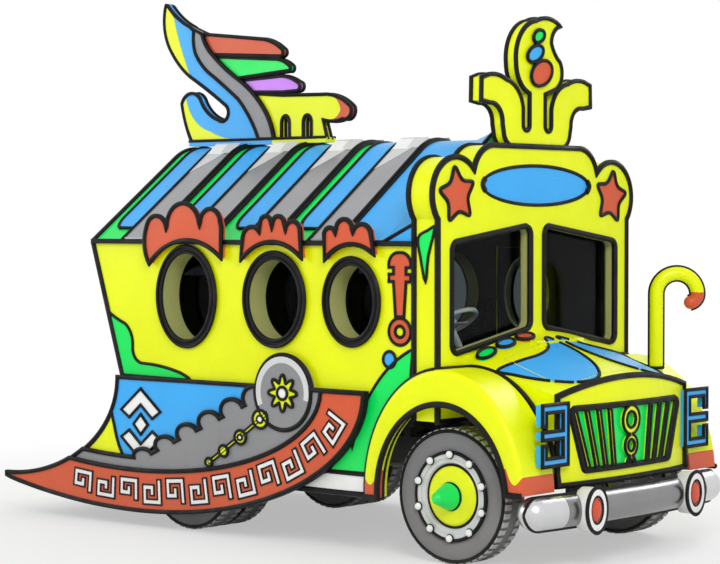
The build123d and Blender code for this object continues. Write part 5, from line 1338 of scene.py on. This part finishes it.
def tyre_piece(name, node, body, axle_x, middle, half):
    """A tyre with a bulged wall, two grooves round it and bars across its tread."""
    bm = bmesh.new()
    wall = [(middle + half * u, r) for u, r in TYRE_PROFILE]
    other = [(middle - half * u, r) for u, r in reversed(TYRE_PROFILE)]
    rings, kinds = [], []
    for n in range(TREAD_BARS):
        for part, raised in ((0.0, True), (0.62, True), (0.66, False), (0.96, False)):
            angle = 2 * math.pi * (n + part) / TREAD_BARS
            tread = [(middle + half * u, TREAD_TOP if raised and k not in (2, 3) else TREAD_FOOT)
                     for k, u in enumerate(TREAD_EDGES)]
            rings.append([bm.verts.new((axle_x + r * math.cos(angle), y,
                                        AXLE_Z + r * math.sin(angle)))
                          for y, r in wall + tread + other])
            kinds.append(raised)
    first, last = len(wall), len(rings[0])
    for n, a in enumerate(rings):
        after = (n + 1) % len(rings)
        b = rings[after]
        for k in range(last):
            m = (k + 1) % last
            face = bm.faces.new((a[k], a[m], b[m], b[k]))
            low = not (kinds[n] and kinds[after]) or first < k < first + 4
            on_tread = first - 1 <= k < first + len(TREAD_EDGES)
            face.material_index = (2 if low else 1) if on_tread else 0
    bmesh.ops.recalc_face_normals(bm, faces=bm.faces[:])
    piece = new_piece(name, bm, ("tyre", "tread", "groove"), body, "tyre")
    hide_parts(node)
    beads(f"{name}_ribs", [(circle(Vector((axle_x, middle + half * u * face, AXLE_Z)), X * r,
                                   Z * r, 96), radius, True)
                           for face in (1, -1) for u, r, radius in TYRE_RIBS], body, "tyre")


def wheel_trim(name, side):
    """Domed bolt heads on the wheel's outer ring, and a ring at the foot of its cone."""
    heads = bmesh.new()
    axle = Vector((AXLE_X, 0, AXLE_Z))
    rings = []
    for n in range(BOLTS):
        turn = 2 * math.pi * (n + 0.5) / BOLTS
        middle = axle + (X * math.cos(turn) + Z * math.sin(turn)) * BOLT_CIRCLE
        skin(heads, [circle(middle + Y * (side * out), X * r, Z * r, 20) for out, r in (
            (1.160, 0.027), (1.187, 0.027), (1.197, 0.022), (1.202, 0.012))])
        rings.append((circle(middle + Y * (side * 1.176), X * 0.029, Z * 0.029, 20), 0.006, True))
    rings.append((circle(axle + Y * (side * 1.174), X * 0.098, Z * 0.098, 40), 0.009, True))
    body = f"front_wheel_{name}"
    new_piece(f"wheel_bolts_{name}", heads, "white", body, "white_paint")
    beads(f"wheel_rings_{name}", rings, body)


class BUS_OT_tyres(Step, bpy.types.Operator):
    """Moulds the treaded tyres"""
    bl_idname = "bus.tyres"
    bl_label = "Tyres"

    def make(self, scene):
        for name, side in SIDES:
            tyre_piece(f"tyre_front_{name}_treaded", f"tyre_front_{name}", f"front_wheel_{name}",
                       AXLE_X, side * 1.045, 0.124)
            wheel_trim(name, side)
            for n, y in enumerate((0.720, 1.000)):
                tyre_piece(f"tyre_rear_{name}_{n}", f"tyres_rear_{name}", f"rear_wheels_{name}",
                           REAR_AXLE_X, side * y, 0.119)


# Seat pads

PAD_VOXEL = 0.014
PAD_SWELL = 0.013          # how far the stuffing may push the cover out
PAD_FRAMES = 14
PAD_CHANNEL = 0.14         # about the width of a sewn channel


def pad_start(size):
    """A rounded block a little smaller than the pad, cut into even cells."""
    bm = bmesh.new()
    bmesh.ops.create_cube(bm, size=1.0)
    room = [max(0.02, c - 2 * PAD_SWELL + 0.002) for c in size]
    bmesh.ops.scale(bm, vec=room, verts=bm.verts)
    bmesh.ops.bevel(bm, geom=bm.edges[:], offset=min(room) * 0.30, segments=3,
                    affect="EDGES", profile=0.5)
    mesh = mesh_of("pad", bm)
    holder = placed("pad", mesh)
    remesh = holder.modifiers.new("cells", "REMESH")
    remesh.mode = "VOXEL"
    remesh.voxel_size = PAD_VOXEL
    bpy.context.view_layer.update()
    cells = bpy.data.meshes.new_from_object(evaluated(holder))
    bpy.data.objects.remove(holder)
    bpy.data.meshes.remove(mesh)
    return cells


def stuffed(covers):
    """Blows the covers up against their seams, by a cloth simulation with pressure inside."""
    scene = bpy.context.scene
    holders = []
    for n, cells in enumerate(covers):
        holder = placed(f"cover_{n}", cells)
        holder.location.z = 10.0 * (n + 1)
        cloth = holder.modifiers.new("cover", "CLOTH")
        for key, value in (("quality", 4), ("mass", 0.35), ("tension_stiffness", 12),
                           ("compression_stiffness", 12), ("use_pressure", True),
                           ("uniform_pressure_force", 4.0)):
            setattr(cloth.settings, key, value)
        cloth.settings.effector_weights.gravity = 0.0
        cloth.point_cache.frame_start = 1
        cloth.point_cache.frame_end = PAD_FRAMES
        holders.append(holder)
    for step in range(1, PAD_FRAMES + 1):
        scene.frame_set(step)
    for holder, cells in zip(holders, covers):
        blown = [vert.co.copy() for vert in evaluated(holder).data.vertices]
        for vert, place in zip(cells.vertices, blown):
            move = place - vert.co
            if move.length > PAD_SWELL:
                move *= PAD_SWELL / move.length
            vert.co += move
        bpy.data.objects.remove(holder)
    scene.frame_set(1)


def pad_axes(size):
    """The axes of a pad that lies or stands: along its face, and through it."""
    return (0, 2) if size[2] < size[0] else (2, 0)


def sewn(cells, size):
    """Presses the sewn channels into a stuffed cover, and keeps it inside its own space."""
    flat, up = pad_axes(size)
    count = max(3, round(size[1] / PAD_CHANNEL))
    lines = [size[1] * (k / count - 0.5) for k in range(1, count)]
    half = [c / 2 for c in size]
    for vert in cells.vertices:
        co = vert.co
        edge = max(0.0, 1 - (co[flat] / half[flat]) ** 2)
        crown = 0.35 * PAD_SWELL * edge * max(0.0, 1 - (co[1] / half[1]) ** 2)
        if co[up] > 0.55 * half[up]:
            groove = sum(math.exp(-((co[1] - y) / 0.010) ** 2) for y in lines)
            co[up] += crown - 0.016 * groove * min(1.0, 2.5 * edge)
        for axis in range(3):
            co[axis] = min(max(co[axis], -half[axis] + 0.001), half[axis] - 0.001)


def piping(size, middle):
    """The welt round the upper edge of a pad, as one closed line."""
    flat, up = pad_axes(size)
    points = []
    for angle in turns(64):
        spot = middle.copy()
        for axis, value in ((flat, math.cos(angle)), (1, math.sin(angle))):
            spot[axis] += (size[axis] / 2 - 0.030) * math.copysign(abs(value) ** 0.28, value)
        spot[up] += size[up] / 2 - 0.016
        points.append(spot)
    return points


class BUS_OT_seats(Step, bpy.types.Operator):
    """Upholsters the benches and the driver's seat"""
    bl_idname = "bus.seats"
    bl_label = "Seat pads"

    def make(self, scene):
        mesh = frame["nodes"]["seat_pads"].data
        pads = []
        for verts in islands(mesh):
            places = [mesh.vertices[n].co for n in verts]
            low, high = (Vector([pick(p[k] for p in places) for k in range(3)])
                         for pick in (min, max))
            pads.append(((low + high) / 2, tuple(round(c, 4) for c in high - low)))
        covers = {size: pad_start(size) for size in sorted({size for middle, size in pads})}
        stuffed(list(covers.values()))
        for size, cells in covers.items():
            sewn(cells, size)
            cells.materials.clear()
            cells.materials.append(MATS["vinyl"])
            cells.shade_smooth()
        for n, (middle, size) in enumerate(sorted(pads, key=lambda pad: tuple(pad[0]))):
            cover = covers[size].copy()
            for vert in cover.vertices:
                vert.co += middle
            piece = placed(f"seat_pad_{n:02d}", cover)
            smooth = piece.modifiers.new("smooth", "SUBSURF")
            smooth.levels = smooth.render_levels = 1
            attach(piece, "bus_body")
            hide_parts("seat_pads")
            beads(f"seat_piping_{n:02d}", [(piping(size, middle), 0.005, True)],
                  slot="seat_vinyl")


# Stage

CAMERA_AZIMUTH, CAMERA_ELEVATION = math.radians(38.61), math.radians(2.41)
CAMERA_REACH, CAMERA_LENS = 17.45, 109.25
CAMERA_TARGET, CAMERA_SHIFT = Vector((0.87, 0, 1.78)), (-0.03824, 0.01378)
LAMP_TARGET = Vector((0.4, 0, 1.6))
LAMPS = (       # name, place, watts, diameter
    ("key_lamp", (9.2, -8.0, 8.0), 650.0, 5.0),
    ("fill_lamp", (-8.0, -7.0, 5.0), 230.0, 6.0),
    ("rim_lamp", (2.0, 9.0, 7.5), 260.0, 5.0),
)


def plain_rays(tree):
    """1 for the rays that show the background: seen, mirrored, or through glass."""
    ray = add(tree, "LightPath")
    total = ray.outputs["Is Camera Ray"]
    for kind in ("Glossy", "Transmission"):
        total = add(tree, "Math", [(0, total), (1, ray.outputs[f"Is {kind} Ray"])],
                    operation="ADD", use_clamp=True)
    return total


class BUS_OT_stage(Step, bpy.types.Operator):
    """Sets the camera, the lamps and the pale floor"""
    bl_idname = "bus.stage"
    bl_label = "Stage"

    def make(self, scene):
        scene.view_settings.view_transform = "Standard"
        level = math.cos(CAMERA_ELEVATION)
        back = Vector((math.sin(CAMERA_AZIMUTH) * level, -math.cos(CAMERA_AZIMUTH) * level,
                       math.sin(CAMERA_ELEVATION)))
        right = Vector((math.cos(CAMERA_AZIMUTH), math.sin(CAMERA_AZIMUTH), 0))
        lens = bpy.data.cameras.new("camera")
        lens.sensor_width = 36.0
        lens.lens = CAMERA_LENS
        lens.dof.use_dof = False
        camera = placed("camera", lens)
        camera.location = CAMERA_TARGET + back * CAMERA_REACH
        aim = right * CAMERA_SHIFT[0] + back.cross(right) * CAMERA_SHIFT[1] - back
        camera.rotation_euler = aim.to_track_quat("-Z", "Y").to_euler()
        scene.camera = camera
        self.floor(scene)
        self.world(scene)
        for name, spot, power, size in LAMPS:
            light = bpy.data.lights.new(name, "AREA")
            light.energy = power
            light.shape = "DISK"
            light.size = size
            lamp = placed(name, light)
            lamp.location = spot
            lamp.rotation_euler = (LAMP_TARGET - Vector(spot)).to_track_quat("-Z",
                                                                             "Y").to_euler()

    def floor(self, scene):
        """Matt white studio paint that fades into the white background away from the bus."""
        disc = bmesh.new()
        bmesh.ops.create_circle(disc, cap_ends=True, segments=96, radius=60.0)
        ground = placed("floor", mesh_of("floor", disc))
        ground.location.z = -0.0005
        made, tree, where = new_material("studio_floor_painted")
        coat = add(tree, "BsdfPrincipled", Base_Color=shade_of(linear("F2F2F0")), Roughness=0.85)
        glow = add(tree, "Emission", Strength=1.0)
        far = add(tree, "VectorMath", [(0, where)], operation="LENGTH")
        fade = add(tree, "MapRange", [("Value", far.outputs["Value"])],
                   interpolation_type="SMOOTHSTEP", From_Min=2.5, From_Max=8.0, To_Min=0.45)
        seen = add(tree, "Math", [(0, fade), (1, plain_rays(tree))], operation="MULTIPLY")
        mix = add(tree, "MixShader", [(0, seen), (1, coat), (2, glow)])
        add(tree, "OutputMaterial", [("Surface", mix)])
        ground.data.materials.append(made)

    def world(self, scene):
        """Soft daylight, seen as plain white."""
        scene.world = bpy.data.worlds.new("studio")
        scene.world.use_nodes = True
        tree = scene.world.node_tree
        tree.nodes.clear()
        soft = add(tree, "Background", Color=(0.96, 0.98, 1.0, 1.0), Strength=0.62)
        white = add(tree, "Background", Color=(1.0, 1.0, 1.0, 1.0), Strength=1.0)
        mix = add(tree, "MixShader", [(0, plain_rays(tree)), (1, soft), (2, white)])
        add(tree, "OutputWorld", [("Surface", mix)])


class BUS_PT_panel(bpy.types.Panel):
    """Lists the steps that dress the bus"""
    bl_idname = "BUS_PT_panel"
    bl_label = "School bus"
    bl_space_type = "VIEW_3D"
    bl_region_type = "UI"
    bl_category = "Bus"

    def draw(self, context):
        for cls in STEPS:
            self.layout.operator(cls.bl_idname)
        for group in (context.scene.bus_colours, context.scene.bus_sizes):
            for key in group.__annotations__:
                self.layout.prop(group, key)


class BUS_OT_finishes(Step, bpy.types.Operator):
    """Makes the paints, rubbers, metals, glass and vinyl"""
    bl_idname = "bus.finishes"
    bl_label = "Finishes"

    def make(self, scene):
        make_materials(scene.bus_colours)


STEPS = (BUS_OT_stage, BUS_OT_finishes, BUS_OT_paintwork, BUS_OT_beading, BUS_OT_motifs,
         BUS_OT_lamps, BUS_OT_tyres, BUS_OT_seats)


def register():
    for cls in (BusColours, BusSizes, *STEPS, BUS_PT_panel):
        bpy.utils.register_class(cls)
    bpy.types.Scene.bus_colours = bpy.props.PointerProperty(type=BusColours)
    bpy.types.Scene.bus_sizes = bpy.props.PointerProperty(type=BusSizes)


def unregister():
    del bpy.types.Scene.bus_sizes
    del bpy.types.Scene.bus_colours
    for cls in reversed((BusColours, BusSizes, *STEPS, BUS_PT_panel)):
        bpy.utils.unregister_class(cls)


def main():
    register()
    for cls in STEPS:
        group, name = cls.bl_idname.split(".")
        getattr(getattr(bpy.ops, group), name)()


if __name__ == "__main__":
    main()
